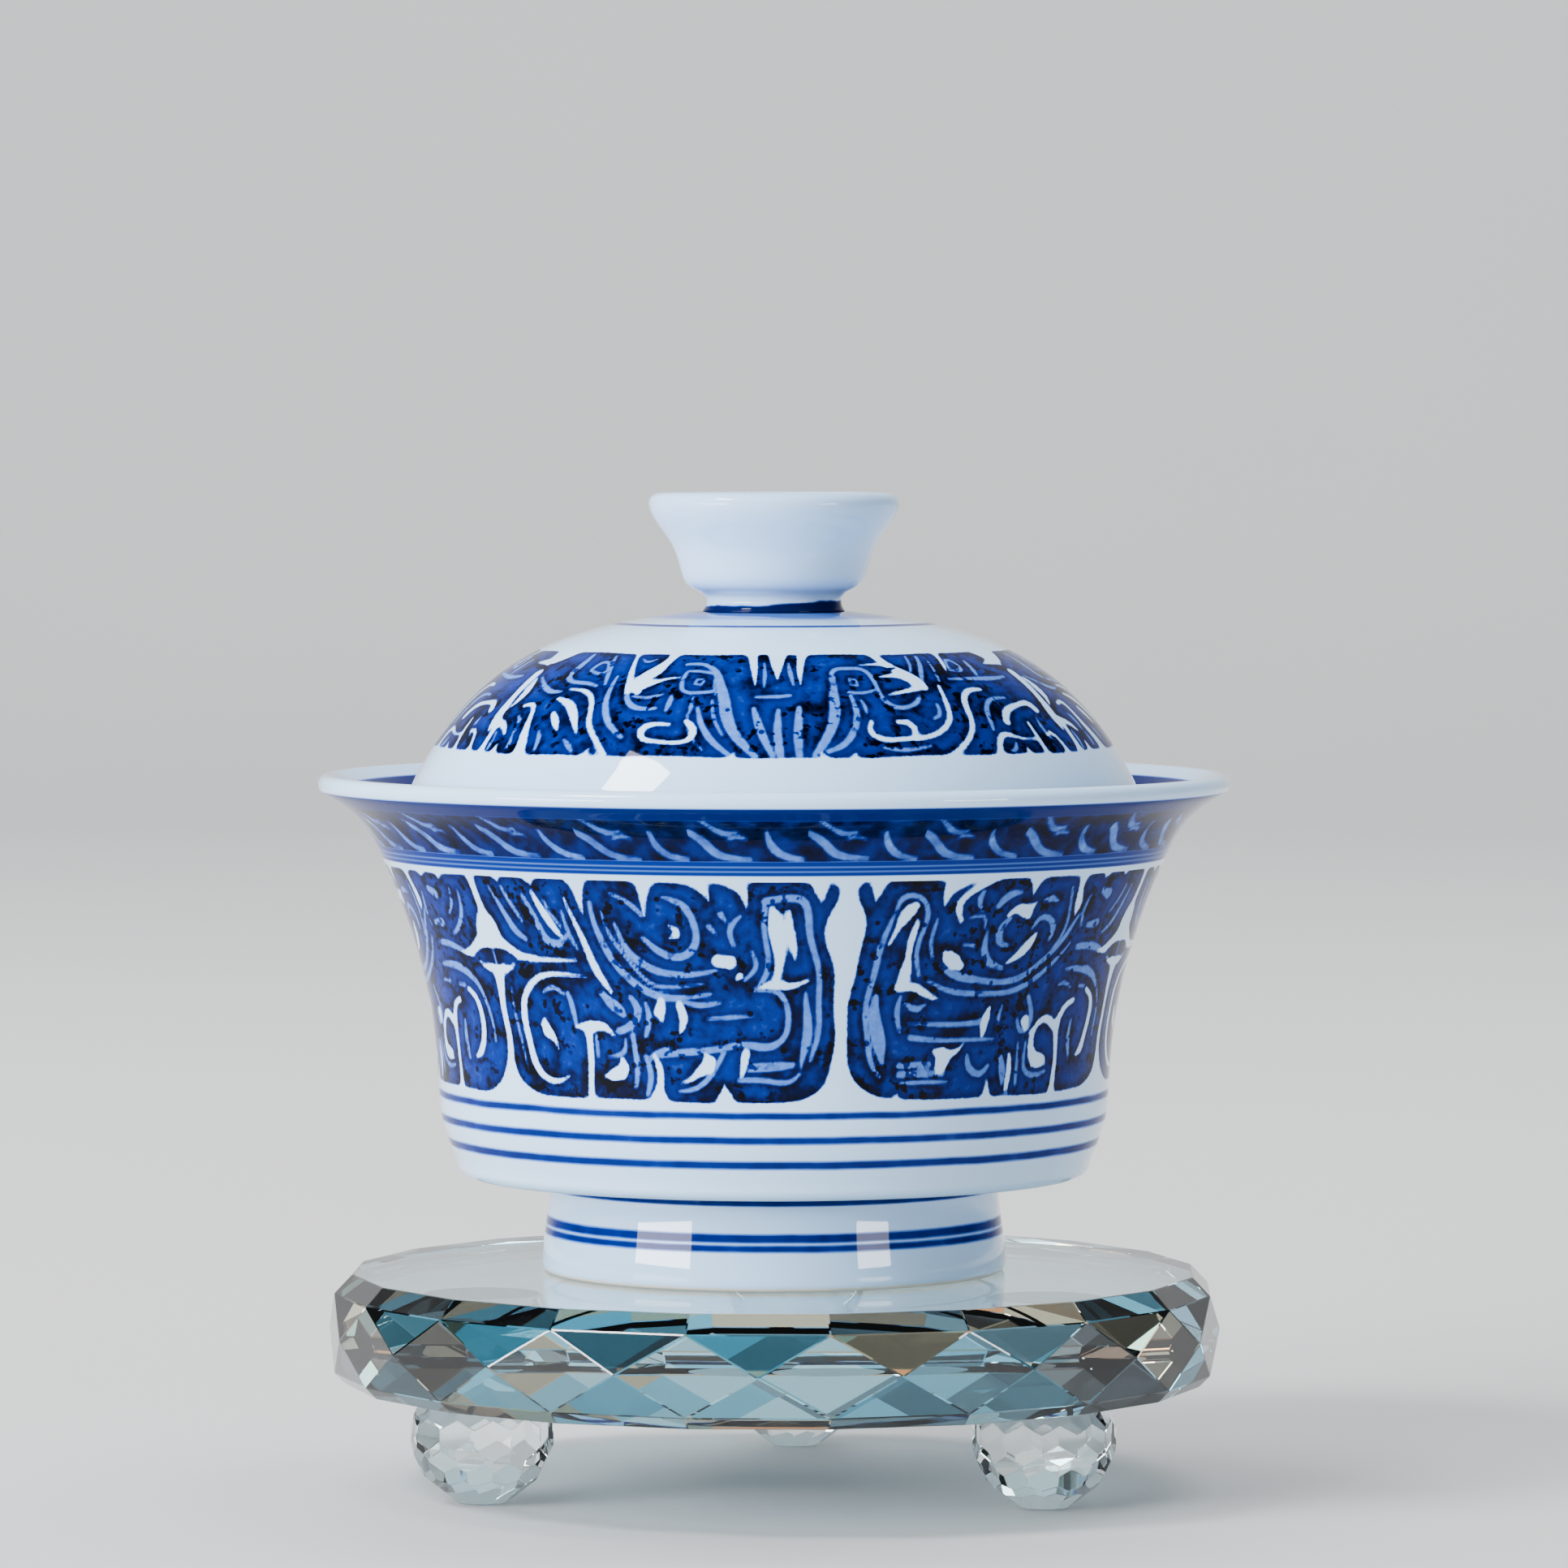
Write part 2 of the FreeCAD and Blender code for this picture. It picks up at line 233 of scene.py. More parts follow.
# %% Left half of the bowl's motif
LEFT_WHITE = [
    [(4.4, 70.6, 1.1), (4.2, 69.2, 0.75), (4, 67.6, 0.08)],
    [(17, 70.8, 1.4), (15.6, 69.2, 0.6), (14.9, 67, 0.05)],
    [(22.6, 70.8, 1.1), (21.2, 69.5, 0.6), (20.3, 68, 0.08)],
    [(29.8, 70.8, 1.3), (29.8, 68.6, 0.55), (29.8, 66.1, 0.15)],
    [(40.6, 70.8, 1.4), (40.2, 68.6, 0.6), (40, 66.2, 0.15)],
    [(48.6, 70.6, 1), (48.1, 69.2, 0.1)],
    [(54.6, 70.5, 0.7), (54.2, 69.3, 0.1)],
    [(11.3, 67.1, 0.3), (10.4, 65.5, 0.85), (9.9, 63.4, 0.85), (10, 61.4, 0.55), (10.3, 59.6, 0.4)],
    [(8.8, 66.6, 0.3), (8.1, 64.8, 0.42), (7.7, 62.9, 0.4), (7.6, 61.4, 0.1)],
    [(12.9, 58.3, 0.15), (10.8, 58.7, 0.5), (8.3, 58.5, 0.4), (5.6, 59.2, 0.2)],
    [(19.5, 61.3, 0.7), (17.6, 61.1, 0.75)],
    [(15.9, 59.6, 0.4), (16.4, 59.3, 0.2)],
    [(26.6, 65.2, 0.08), (25.4, 64.2, 0.42), (26.8, 63.7, 0.1)],
    [(42.8, 67.9, 0.12), (41.9, 65.2, 0.3), (40.2, 61.8, 0.42), (38.6, 59, 0.45), (37.4, 57.6, 0.2)],
    [(28.9, 56.7, 0.5), (29.3, 55.6, 0.68), (28.9, 54.7, 0.2)],
    [(25.9, 56.4, 0.45), (25.4, 54.8, 0.5), (26, 53.3, 0.12)],
    [(15.2, 51.3, 0.5), (15.6, 49.8, 0.42), (16.1, 48.7, 0.2)],
    [(21.8, 51, 0.3), (21.3, 50.1, 0.85), (22.8, 49.3, 0.6), (24.6, 48.4, 0.3), (26.4, 48, 0.1)],
    [(18.6, 45.5, 1.3), (18.8, 46.9, 0.55), (19, 47.9, 0.05)],
    [(29.9, 45.5, 1.3), (29.9, 47.5, 0.5), (30, 49.5, 0.42), (30.6, 50.9, 0.25)],
    [(36.3, 50.4, 0.3), (36.5, 49, 0.85), (38, 48.5, 0.75), (39.3, 48.3, 0.3)],
    [(42, 53.5, 0.5), (42.2, 50, 0.42), (42.2, 45.8, 0.42)],
    [(44.4, 53.8, 0.2), (41.8, 53.9, 0.55), (38.6, 53.7, 0.4), (37.2, 52.9, 0.15)],
    [(50.9, 54.4, 0.2), (50.8, 53.1, 0.78), (49.4, 52.1, 0.4), (48.8, 51, 0.1)],
    [(41.5, 59.3, 0.12), (46.5, 59.4, 0.3), (51, 58.9, 0.36), (54, 57.3, 0.44), (55.2, 54.8, 0.5),
     (55.2, 52, 0.5), (54.2, 49.7, 0.5), (52, 48.1, 0.42), (48.5, 47.6, 0.3), (46.4, 48.2, 0.1)],
    [(48.3, 68.2, 0.25), (47.4, 66.3, 0.5), (46, 64.5, 0.42), (44.7, 63.5, 0.2)],
    [(51.5, 61, 0.3), (47, 61, 0.28), (42.5, 61.1, 0.15)],
]
LEFT_PALE = [
    [(12.4, 67.9, 0.3), (9.5, 68.1, 0.36), (6.8, 67.8, 0.38), (5.9, 66.6, 0.34), (5.2, 64.5, 0.32),
     (4.4, 61.5, 0.3), (3.9, 59, 0.28), (3.6, 56, 0.28), (3.8, 53, 0.26), (4.6, 50.3, 0.15)],
    [(12.3, 67.5, 0.28), (12.1, 65, 0.25), (11.7, 62, 0.25), (11.9, 60, 0.25), (12.9, 58.5, 0.2)],
    [(5.8, 57.8, 0.1), (5.5, 55, 0.45), (5.7, 51.5, 0.4), (6.2, 49.6, 0.08)],
    [(13.6, 58.1, 0.2), (10.2, 57.9, 0.3), (8.8, 56.5, 0.3), (8.7, 54.5, 0.3), (9.4, 52.6, 0.32),
     (10.9, 51.9, 0.36), (15, 52.1, 0.32), (20, 51.7, 0.3), (25, 51.3, 0.36), (29.6, 50.9, 0.25)],
    [(19.2, 56.6, 0.12), (22.5, 56.3, 0.28), (25.6, 56.7, 0.15)],
    [(14, 55.2, 0.08), (17.5, 55, 0.2), (21.5, 54.9, 0.12)],
    [(14.6, 49.7, 0.42), (10.5, 49.8, 0.42), (7.5, 49.9, 0.28)],
    [(16.4, 48.3, 0.25), (12, 48.3, 0.27), (8.2, 48.2, 0.22), (6.4, 49, 0.1)],
    [(18.9, 51.2, 0.2), (20.8, 49.2, 0.26), (23.5, 47.5, 0.26), (26.4, 47.1, 0.12)],
    [(31.4, 50.6, 0.2), (29.5, 51.3, 0.28), (27.4, 51.7, 0.2)],
    [(31.9, 46.5, 0.22), (31.6, 49, 0.3), (32.2, 50.9, 0.2)],
    [(33.9, 53, 0.28), (33.8, 50, 0.3), (34.1, 47.3, 0.22)],
    [(35.2, 52.6, 0.1), (35.6, 51.4, 0.22), (38.8, 50.6, 0.12)],
    [(34.2, 57.2, 0.25), (33, 55.8, 0.4), (33.9, 54.2, 0.42), (36.4, 53.4, 0.36)],
    [(39.4, 57.6, 0.3), (38, 56.6, 0.5), (36.6, 55.9, 0.6), (35.5, 55.2, 0.3)],
    [(31.6, 56.6, 0.15), (31.1, 54.7, 0.3), (31.6, 52.9, 0.2)],
    [(45.7, 57.3, 0.25), (44.8, 55.3, 0.28), (44.4, 53.9, 0.2)],
    [(50.5, 57.4, 0.1), (48, 57.9, 0.25), (46.5, 57.2, 0.12)],
    [(40.6, 52.9, 0.2), (40.8, 50.5, 0.15)],
    [(38.4, 67.4, 0.2), (38.3, 64.5, 0.3), (36.4, 61.2, 0.35), (33.3, 58.8, 0.38), (29, 57.3, 0.36),
     (24.5, 57.1, 0.26), (20.5, 57.5, 0.12)],
    [(35, 65.2, 0.15), (33.9, 62.4, 0.3), (31.2, 60.6, 0.36), (27.5, 59.7, 0.33), (23, 59.7, 0.28),
     (19.6, 60.2, 0.12)],
    [(36.7, 66.4, 0.08), (36.2, 63.8, 0.16), (33.6, 61, 0.18), (29.8, 58.5, 0.18), (25, 58.3, 0.14),
     (21.5, 58.6, 0.06)],
    [(26.9, 68.2, 0.12), (24.3, 67.5, 0.35), (22.7, 65.5, 0.33), (22.9, 63.1, 0.36), (25, 61.7, 0.38),
     (28.5, 62.1, 0.38), (31, 63.6, 0.22)],
    [(35, 68.4, 0.1), (32.2, 67.5, 0.22), (30.2, 66.1, 0.2)],
    [(43.8, 66.3, 0.12), (43.2, 63.7, 0.2), (42, 62.2, 0.1)],
    [(15.8, 66.3, 0.15), (17.3, 64.7, 0.26), (16.9, 62.9, 0.2)],
    [(18.6, 66.5, 0.28), (17.8, 65.6, 0.1)],
    [(20.4, 65, 0.28), (19.5, 64.2, 0.1)],
    [(14.2, 62.4, 0.1), (13.6, 60.5, 0.22), (15.2, 59.2, 0.15)],
    [(50.2, 67.8, 0.2), (49, 65, 0.34), (47.6, 63.2, 0.38), (45.3, 62.8, 0.36), (43.7, 63.7, 0.15)],
    [(46.6, 67.4, 0.12), (45.7, 65.6, 0.24), (44.6, 64.5, 0.12)],
    [(56.4, 68.7, 0.12), (55.2, 66, 0.3), (53.6, 64, 0.35), (51.9, 63.2, 0.25)],
    [(53.9, 68.7, 0.12), (52.9, 66.5, 0.24), (51.9, 65, 0.1)],
    [(57.4, 57.6, 0.08), (57.3, 54.5, 0.16), (57, 51.5, 0.14), (55.6, 48.6, 0.06)],
]

# %% Right half of the bowl's motif
RIGHT_WHITE = [
    [(4.6, 70.6, 1.1), (4.4, 69.2, 0.7), (4.1, 67.8, 0.08)],
    [(17.4, 70.9, 1.6), (15.6, 69.2, 0.8), (14.7, 67.1, 0.15)],
    [(22.1, 70.9, 1.1), (20.7, 69.6, 0.6), (18.6, 68.4, 0.36), (17.1, 66.8, 0.42), (17.9, 65.2, 0.25)],
    [(30.1, 70.9, 1.4), (30.2, 69.2, 0.55), (30.4, 68, 0.08)],
    [(40.2, 70.9, 1.1), (40.4, 68.6, 0.4), (41.1, 66.5, 0.55), (40.9, 65.4, 0.1)],
    [(46.4, 70.7, 1), (45.8, 69.4, 0.1)],
    [(51.8, 70.5, 0.7), (51.4, 69.4, 0.1)],
    [(10.2, 67.1, 0.45), (8.9, 66.3, 0.72), (7.9, 64.9, 0.38), (6.9, 62.9, 0.2)],
    [(10.7, 65.4, 0.25), (10.3, 63.2, 0.42), (10.2, 61.2, 0.42), (9.8, 59.6, 0.75), (9.6, 58.6, 0.5)],
    [(9, 58.4, 0.4), (11.7, 58.3, 0.45), (14.2, 57.4, 0.36), (16.2, 56.8, 0.1)],
    [(16.4, 61.9, 0.3), (17.9, 61, 0.95), (19.3, 60.4, 0.6)],
    [(26.4, 65.8, 0.25), (27.8, 66.5, 0.45), (29.6, 66.3, 0.72), (30.4, 65.8, 0.4)],
    [(31.6, 67.2, 0.1), (30.5, 66.3, 0.4)],
    [(32.9, 63.7, 0.2), (32, 62.6, 0.58), (30.3, 61.2, 0.5), (28.2, 60.4, 0.15)],
    [(26.1, 55.5, 0.25), (25.7, 54.2, 0.62), (25.4, 52.7, 0.25)],
    [(16.2, 51.1, 0.35), (17.7, 50.6, 0.85), (17.7, 49.4, 0.8), (17, 48.7, 0.15)],
    [(17.7, 50.8, 0.5), (20, 51, 0.32), (21.8, 52.1, 0.08)],
    [(31.3, 50.5, 0.25), (31.5, 48.8, 0.42), (31.2, 46.7, 0.32)],
    [(34.6, 53.9, 0.7), (35, 53, 0.3)],
    [(36.7, 52.5, 0.3), (38.2, 53.7, 0.38), (40.2, 53.9, 0.5), (42.2, 53.2, 0.5), (43.9, 54.7, 0.42),
     (46.6, 55.7, 0.36)],
    [(42.8, 53, 0.5), (43.2, 50.5, 0.4), (43.2, 48, 0.42), (43.1, 45.6, 0.6)],
    [(36.7, 52.4, 0.25), (36.4, 50.9, 0.55), (37.4, 49.6, 0.85), (39.3, 49.4, 0.7), (40.3, 49, 0.2)],
    [(50.5, 56.9, 0.35), (52.6, 55.9, 0.4), (53.3, 53.8, 0.5), (52.8, 51.6, 0.5), (51.6, 50.1, 0.5),
     (50.1, 49.6, 0.2)],
    [(9.6, 45.5, 0.3), (9.8, 46.6, 0.05)],
    [(26.8, 45.6, 0.6), (27, 47, 0.3), (26.8, 48.2, 0.05)],
]
RIGHT_PALE = [
    [(7.2, 66.6, 0.1), (8.1, 67.9, 0.25), (10.8, 68, 0.25), (11.9, 67, 0.25), (11.9, 64.5, 0.22),
     (11.6, 61.5, 0.25), (12.3, 59.4, 0.15)],
    [(6.9, 66.2, 0.12), (5.7, 63, 0.3), (4.7, 60, 0.32), (4.2, 57, 0.3), (4.1, 54, 0.28),
     (4.5, 51.6, 0.28), (5.4, 49.7, 0.25), (6.8, 48.4, 0.12)],
    [(5.6, 57.4, 0.3), (5.6, 54.8, 0.72), (6.2, 52.2, 0.72), (7, 50, 0.2)],
    [(9.7, 57.4, 0.12), (9.4, 55.4, 0.3), (9.7, 53.4, 0.15)],
    [(10.6, 56.8, 0.12), (12.5, 55.9, 0.34), (14, 56.4, 0.1)],
    [(15.8, 60.5, 0.2), (18.5, 59.4, 0.45), (22.2, 58.8, 0.36), (27.2, 58.4, 0.32), (32.2, 58.9, 0.3),
     (36.2, 60.6, 0.3), (39.6, 63, 0.28), (42.2, 65.6, 0.12)],
    [(13.8, 58.9, 0.1), (17.2, 57.8, 0.22), (23.2, 57.2, 0.28), (29.7, 57.3, 0.28), (35.4, 58.6, 0.28),
     (39, 60.4, 0.22), (41.6, 62.4, 0.1)],
    [(26.9, 65.5, 0.2), (25.6, 64.4, 0.38), (25.8, 62.9, 0.38), (27.8, 62.3, 0.18)],
    [(31.7, 64.2, 0.1), (33.1, 65.4, 0.24), (35.1, 65.3, 0.3), (36.4, 64.1, 0.36), (36, 62.9, 0.15)],
    [(23.1, 64.2, 0.1), (23.4, 62.2, 0.36), (24.6, 60.7, 0.42), (27.4, 59.9, 0.2)],
    [(24.2, 66.9, 0.3), (25.5, 68, 0.42), (28, 68.4, 0.15)],
    [(33.2, 67.2, 0.25), (34.6, 67.5, 0.34), (36.1, 67.2, 0.15)],
    [(38.4, 68.6, 0.1), (39.4, 66.2, 0.2), (39.1, 63.8, 0.2), (37.4, 61.8, 0.1)],
    [(19.2, 65.5, 0.1), (21.9, 65.7, 0.18), (22.4, 64.4, 0.1)],
    [(19.4, 62.7, 0.12), (21.6, 62.5, 0.16)],
    [(21, 68.6, 0.2), (20.6, 67.2, 0.28), (21.4, 66.4, 0.1)],
    [(13.8, 65.6, 0.1), (13.6, 63.4, 0.2), (14.4, 61.4, 0.15)],
    [(11.2, 54.3, 0.1), (16.2, 54.2, 0.24), (22.2, 54.1, 0.26), (25, 54.2, 0.3)],
    [(11.5, 52.7, 0.3), (16.2, 52.4, 0.26), (22.8, 52.4, 0.2), (27.8, 52.2, 0.12)],
    [(10, 49.7, 0.3), (15.2, 49.6, 0.42)],
    [(10.2, 48.7, 0.34), (18.2, 48.7, 0.28)],
    [(10.7, 47.7, 0.16), (15.2, 47.8, 0.2), (19.2, 47.7, 0.1)],
    [(22.5, 50.6, 0.2), (23.3, 49.1, 0.36), (25.6, 48.5, 0.32), (26.9, 49.4, 0.2)],
    [(29.4, 50.5, 0.2), (30, 49, 0.46), (30.3, 47.3, 0.22)],
    [(28.7, 55.7, 0.12), (28.4, 53.8, 0.24)],
    [(32.7, 54.2, 0.15), (34, 52.8, 0.3), (35.8, 53.6, 0.32), (35.6, 55, 0.3), (34.2, 56.6, 0.24)],
    [(35.2, 51.6, 0.1), (35.1, 48.7, 0.24), (37.2, 48, 0.24), (40.6, 48.2, 0.15)],
    [(33.4, 51.6, 0.1), (33.2, 49, 0.22), (33.4, 47, 0.15)],
    [(42.8, 59.4, 0.15), (47.2, 59.4, 0.4), (51.2, 58.7, 0.4), (54.4, 57, 0.25), (56, 54.4, 0.2),
     (56.2, 51.4, 0.15)],
    [(47, 53.5, 0.12), (46.9, 51.5, 0.38), (47.6, 49.4, 0.2)],
    [(47.4, 57.4, 0.15), (49.5, 57.3, 0.2)],
    [(41.6, 57.6, 0.12), (43.4, 57.8, 0.24), (45.2, 57.2, 0.1)],
    [(43.9, 61.9, 0.3), (48.2, 61.8, 0.38), (51.7, 61.3, 0.3)],
    [(46.6, 68, 0.35), (48.5, 67.5, 0.5)],
    [(45.2, 64.2, 0.28), (47.8, 64.3, 0.5)],
    [(43.6, 67.6, 0.1), (43, 65.6, 0.22), (43.5, 63.8, 0.12)],
    [(55.6, 68.2, 0.1), (54.8, 66, 0.25), (53, 64.2, 0.25), (50.6, 63.2, 0.15)],
    [(53.4, 68.4, 0.1), (52.6, 66.6, 0.2), (51, 65.4, 0.1)],
]

# %% One wave of the border under the lip
BORDER_PALE = [
    [(0, 75.4, 0.3), (2, 74.4, 0.42), (4, 73, 0.4), (6, 72.55, 0.3), (8.6, 72.4, 0.16)],
    [(10.5, 75.3, 0.18), (11, 74.1, 0.34), (12.9, 72.8, 0.34), (15.6, 72.4, 0.2)],
    [(1.6, 76.9, 0.08), (3.2, 75.9, 0.22), (5, 75.2, 0.26), (6.6, 75.4, 0.1)],
    [(5.4, 74.6, 0.1), (6.7, 74.9, 0.2), (7.9, 74.6, 0.12)],
]

# %% The lid's motif: its middle, its edge, and the left half
LID_GAPS = [
    [(0, 94.4, 1.5), (0, 92.9, 0.95), (0, 91.2, 0.12)],
    [(7, 94.6, 1.2), (5.6, 93.4, 0.62), (5, 92.2, 0.45), (4.7, 90.6, 0.1)],
    [(57, 94.6, 1.9), (58.4, 93.6, 1.6), (60, 93.2, 1.6)],
    [(60, 91.4, 0.75), (59.8, 90, 0.5), (60, 88.6, 0.6), (60, 86.8, 0.7), (60, 85.4, 0.15)],
]
LID_LEFT_WHITE = [
    [(24.2, 94.4, 1.1), (25.2, 93, 0.65), (27.2, 91.7, 1.15), (28.4, 90.6, 1.15), (27.8, 89.7, 0.4)],
    [(20.4, 91.35, 0.12), (23.4, 91.15, 0.24), (26, 90.7, 0.4)],
    [(35, 94, 0.35), (34.4, 93.3, 0.28), (33, 92.2, 0.36), (31.5, 91, 0.42), (30.2, 89.7, 0.35)],
    [(45, 89.9, 0.1), (42, 89.8, 0.26), (38.8, 89.4, 0.32), (36.2, 88, 0.34), (35, 86.3, 0.34),
     (32.4, 84.6, 0.32), (30.2, 83.2, 0.32)],
    [(45.8, 88.9, 0.25), (41.6, 88.2, 0.55), (38.8, 86.8, 0.5), (36.9, 85.3, 0.1)],
    [(44.6, 87.3, 0.35), (43, 86.5, 0.5), (41.6, 85.6, 0.2)],
    [(54.2, 88, 0.25), (51.6, 88.1, 0.33), (50.2, 87, 0.35), (49.2, 85.5, 0.5), (48, 84, 0.7),
     (47.5, 82.5, 1)],
    [(57.9, 90.8, 0.2), (57.1, 89.8, 0.6), (57.2, 88.7, 0.45), (58, 88, 0.1)],
    [(58.5, 86.2, 0.35), (58.4, 84.6, 0.38), (58.6, 82.6, 0.5)],
    [(58.4, 86.3, 0.38), (56.2, 86, 0.42), (54.3, 85.1, 0.2)],
    [(54.6, 82.7, 0.5), (54.5, 84, 0.1)],
    [(33.6, 82.6, 0.3), (33.2, 83.6, 0.1)],
    [(8.2, 82.6, 0.25), (7.4, 83.5, 0.1)],
    [(19.4, 86.4, 0.25), (22.5, 86.35, 0.34), (24.2, 85.8, 0.42), (24.2, 85, 0.38), (21, 84.5, 0.3),
     (17, 84.5, 0.3), (15.1, 85, 0.36), (14.9, 86.1, 0.45), (16.3, 86.8, 0.3)],
]
LID_LEFT_LEAF = [
    [(20.2, 92.2, 0.3), (22.8, 92, 0.5), (26.2, 91.2, 0.08)],
    [(20.2, 90.6, 0.3), (23.4, 90.5, 0.42), (27.2, 89.95, 0.08)],
]
LID_LEFT_PALE = [
    [(0, 89.4, 0.22), (4.3, 89.4, 0.16)],
    [(4.5, 88.2, 0.2), (2.9, 86, 0.4), (1.2, 83.2, 0.25)],
    [(0, 88, 0.2), (0, 85.6, 0.36), (0, 83.2, 0.3)],
    [(2.9, 92.8, 0.08), (2.7, 91.4, 0.2), (2.9, 90.4, 0.08)],
    [(20.2, 92.7, 0.2), (16.6, 92.75, 0.26), (13.6, 92.2, 0.34), (11.9, 90.9, 0.5), (10.4, 89.1, 0.6),
     (9, 87.2, 0.6), (6.8, 85.1, 0.5), (4, 83.2, 0.28)],
    [(14.9, 88.2, 0.14), (13.3, 86.4, 0.3), (11.2, 84.8, 0.32), (8.2, 83.3, 0.2)],
    [(16.4, 87.6, 0.08), (15.2, 85.4, 0.12), (12.8, 83.8, 0.1)],
    [(12.6, 89, 0.1), (11.4, 87.2, 0.14), (9.4, 85.4, 0.12)],
    [(12.6, 92.1, 0.1), (12.9, 90.6, 0.14), (12.3, 89.6, 0.1)],
    [(19.4, 91.9, 0.16), (19.6, 90.8, 0.22), (18.6, 89.9, 0.22), (16, 89.75, 0.22), (13.2, 89.9, 0.22)],
    [(19, 92, 0.16), (16.4, 92, 0.2), (13.6, 91.8, 0.16)],
    [(15.2, 91, 0.12), (15.5, 90.6, 0.12), (16.6, 90.6, 0.12), (16.9, 91.1, 0.12), (15.4, 91.2, 0.1)],
    [(16.2, 89.2, 0.14), (16.2, 88.2, 0.2), (16.1, 87.6, 0.08)],
    [(20.6, 89.6, 0.12), (20.5, 88.6, 0.28), (20.7, 87.9, 0.12)],
    [(30, 89.5, 0.3), (28.6, 88.6, 0.32), (26.4, 88.05, 0.3), (22.8, 88.1, 0.16)],
    [(28.4, 89.3, 0.1), (25.6, 89.2, 0.2), (22.4, 89.6, 0.1)],
    [(35.2, 91.3, 0.14), (34.4, 89.8, 0.26), (33.2, 88.2, 0.34), (30.7, 86.2, 0.32), (27.8, 84.9, 0.18)],
    [(40.9, 93.4, 0.14), (39.7, 92.6, 0.26), (38.2, 91.6, 0.26), (36.6, 90.4, 0.14)],
    [(48.5, 93.4, 0.24), (48.1, 92.2, 0.46), (47.8, 91.1, 0.36), (46, 90.7, 0.24), (42, 90.5, 0.24),
     (38.4, 90.2, 0.14)],
    [(43.7, 91.9, 0.2), (42.5, 92.7, 0.26), (41.2, 92.7, 0.22), (39.5, 91.55, 0.18), (42, 91.6, 0.2),
     (43.5, 91.8, 0.16)],
    [(56.4, 91, 0.12), (53, 90.2, 0.26), (49, 89.6, 0.3), (46.4, 89.6, 0.14)],
    [(53.8, 87, 0.08), (52.4, 86.4, 0.24), (52, 85.2, 0.12)],
    [(45.6, 85.4, 0.1), (44.6, 84.6, 0.26), (44.2, 83.5, 0.14)],
    [(51.8, 84.9, 0.08), (51.3, 84.2, 0.22), (51.4, 83.5, 0.14)],
    [(38.9, 84.6, 0.1), (37.4, 84, 0.26), (36.4, 83.4, 0.14)],
    [(28.6, 93.2, 0.06), (30.4, 92.9, 0.16), (32.4, 93.2, 0.06)],
    [(57, 85.2, 0.1), (56.6, 84.2, 0.24), (56.8, 83.3, 0.12)],
]

# %% Right half of the lid's motif
LID_RIGHT_WHITE = [
    [(22.6, 94.3, 1), (24.2, 92.9, 0.6), (26.6, 91.9, 0.8), (29, 90.9, 1), (30.2, 90.3, 0.6)],
    [(18, 92.55, 0.1), (21.5, 92.65, 0.22), (24.5, 92.7, 0.3)],
    [(21.2, 91.3, 0.1), (24, 91.45, 0.34), (26.5, 91.5, 0.5)],
    [(21.8, 89.5, 0.15), (25, 89.75, 0.3), (28.4, 90.1, 0.4)],
    [(33.9, 90.4, 0.25), (33.3, 88.6, 0.32), (32.2, 87, 0.34), (29.8, 85.8, 0.34), (26.4, 85, 0.32),
     (22, 84.75, 0.32), (17.4, 84.9, 0.34), (15.9, 85.6, 0.3), (16.3, 86.6, 0.26)],
    [(21.4, 86.6, 0.34), (23.4, 86.5, 0.4), (24.2, 85.9, 0.36), (24.1, 85.2, 0.25)],
    [(43.8, 89.9, 0.25), (40.4, 89.85, 0.38), (38.3, 89.2, 0.42), (37.2, 88, 0.4), (36.5, 86.6, 0.34),
     (34.6, 85, 0.34), (31.8, 83.7, 0.36), (29.9, 82.8, 0.4)],
    [(41.8, 94.3, 0.7), (40.6, 93.2, 0.34), (39.2, 92.2, 0.24), (38.6, 91.8, 0.08)],
    [(44.6, 86.5, 0.5), (45.6, 87.3, 0.5), (48, 87.9, 0.42), (51, 88.15, 0.34), (54.5, 88.1, 0.5),
     (55.4, 87.5, 0.5)],
    [(50.2, 86.3, 0.22), (50.4, 85, 0.28), (50.9, 83.2, 0.3)],
    [(39.6, 82.9, 0.4), (40.6, 84.5, 0.38), (42.2, 85.1, 0.38), (45, 84.8, 0.24), (49.6, 84.6, 0.12)],
    [(53.2, 92.5, 0.1), (56, 92.6, 0.5), (60, 92.8, 1)],
    [(57.2, 82.8, 0.4), (56.6, 84.2, 0.24), (55.2, 85.1, 0.3), (53.6, 85, 0.2)],
    [(46.6, 82.6, 0.35), (46.2, 83.6, 0.1)],
    [(7.6, 82.6, 0.3), (7, 83.6, 0.1)],
    [(12.2, 82.6, 0.3), (12.8, 83.4, 0.1)],
]
LID_RIGHT_LEAF = [
    [(20.4, 92.1, 0.3), (23, 92.05, 0.42), (26, 92.3, 0.08)],
    [(20.4, 90.5, 0.35), (24, 90.45, 0.42), (27, 90.8, 0.08)],
]
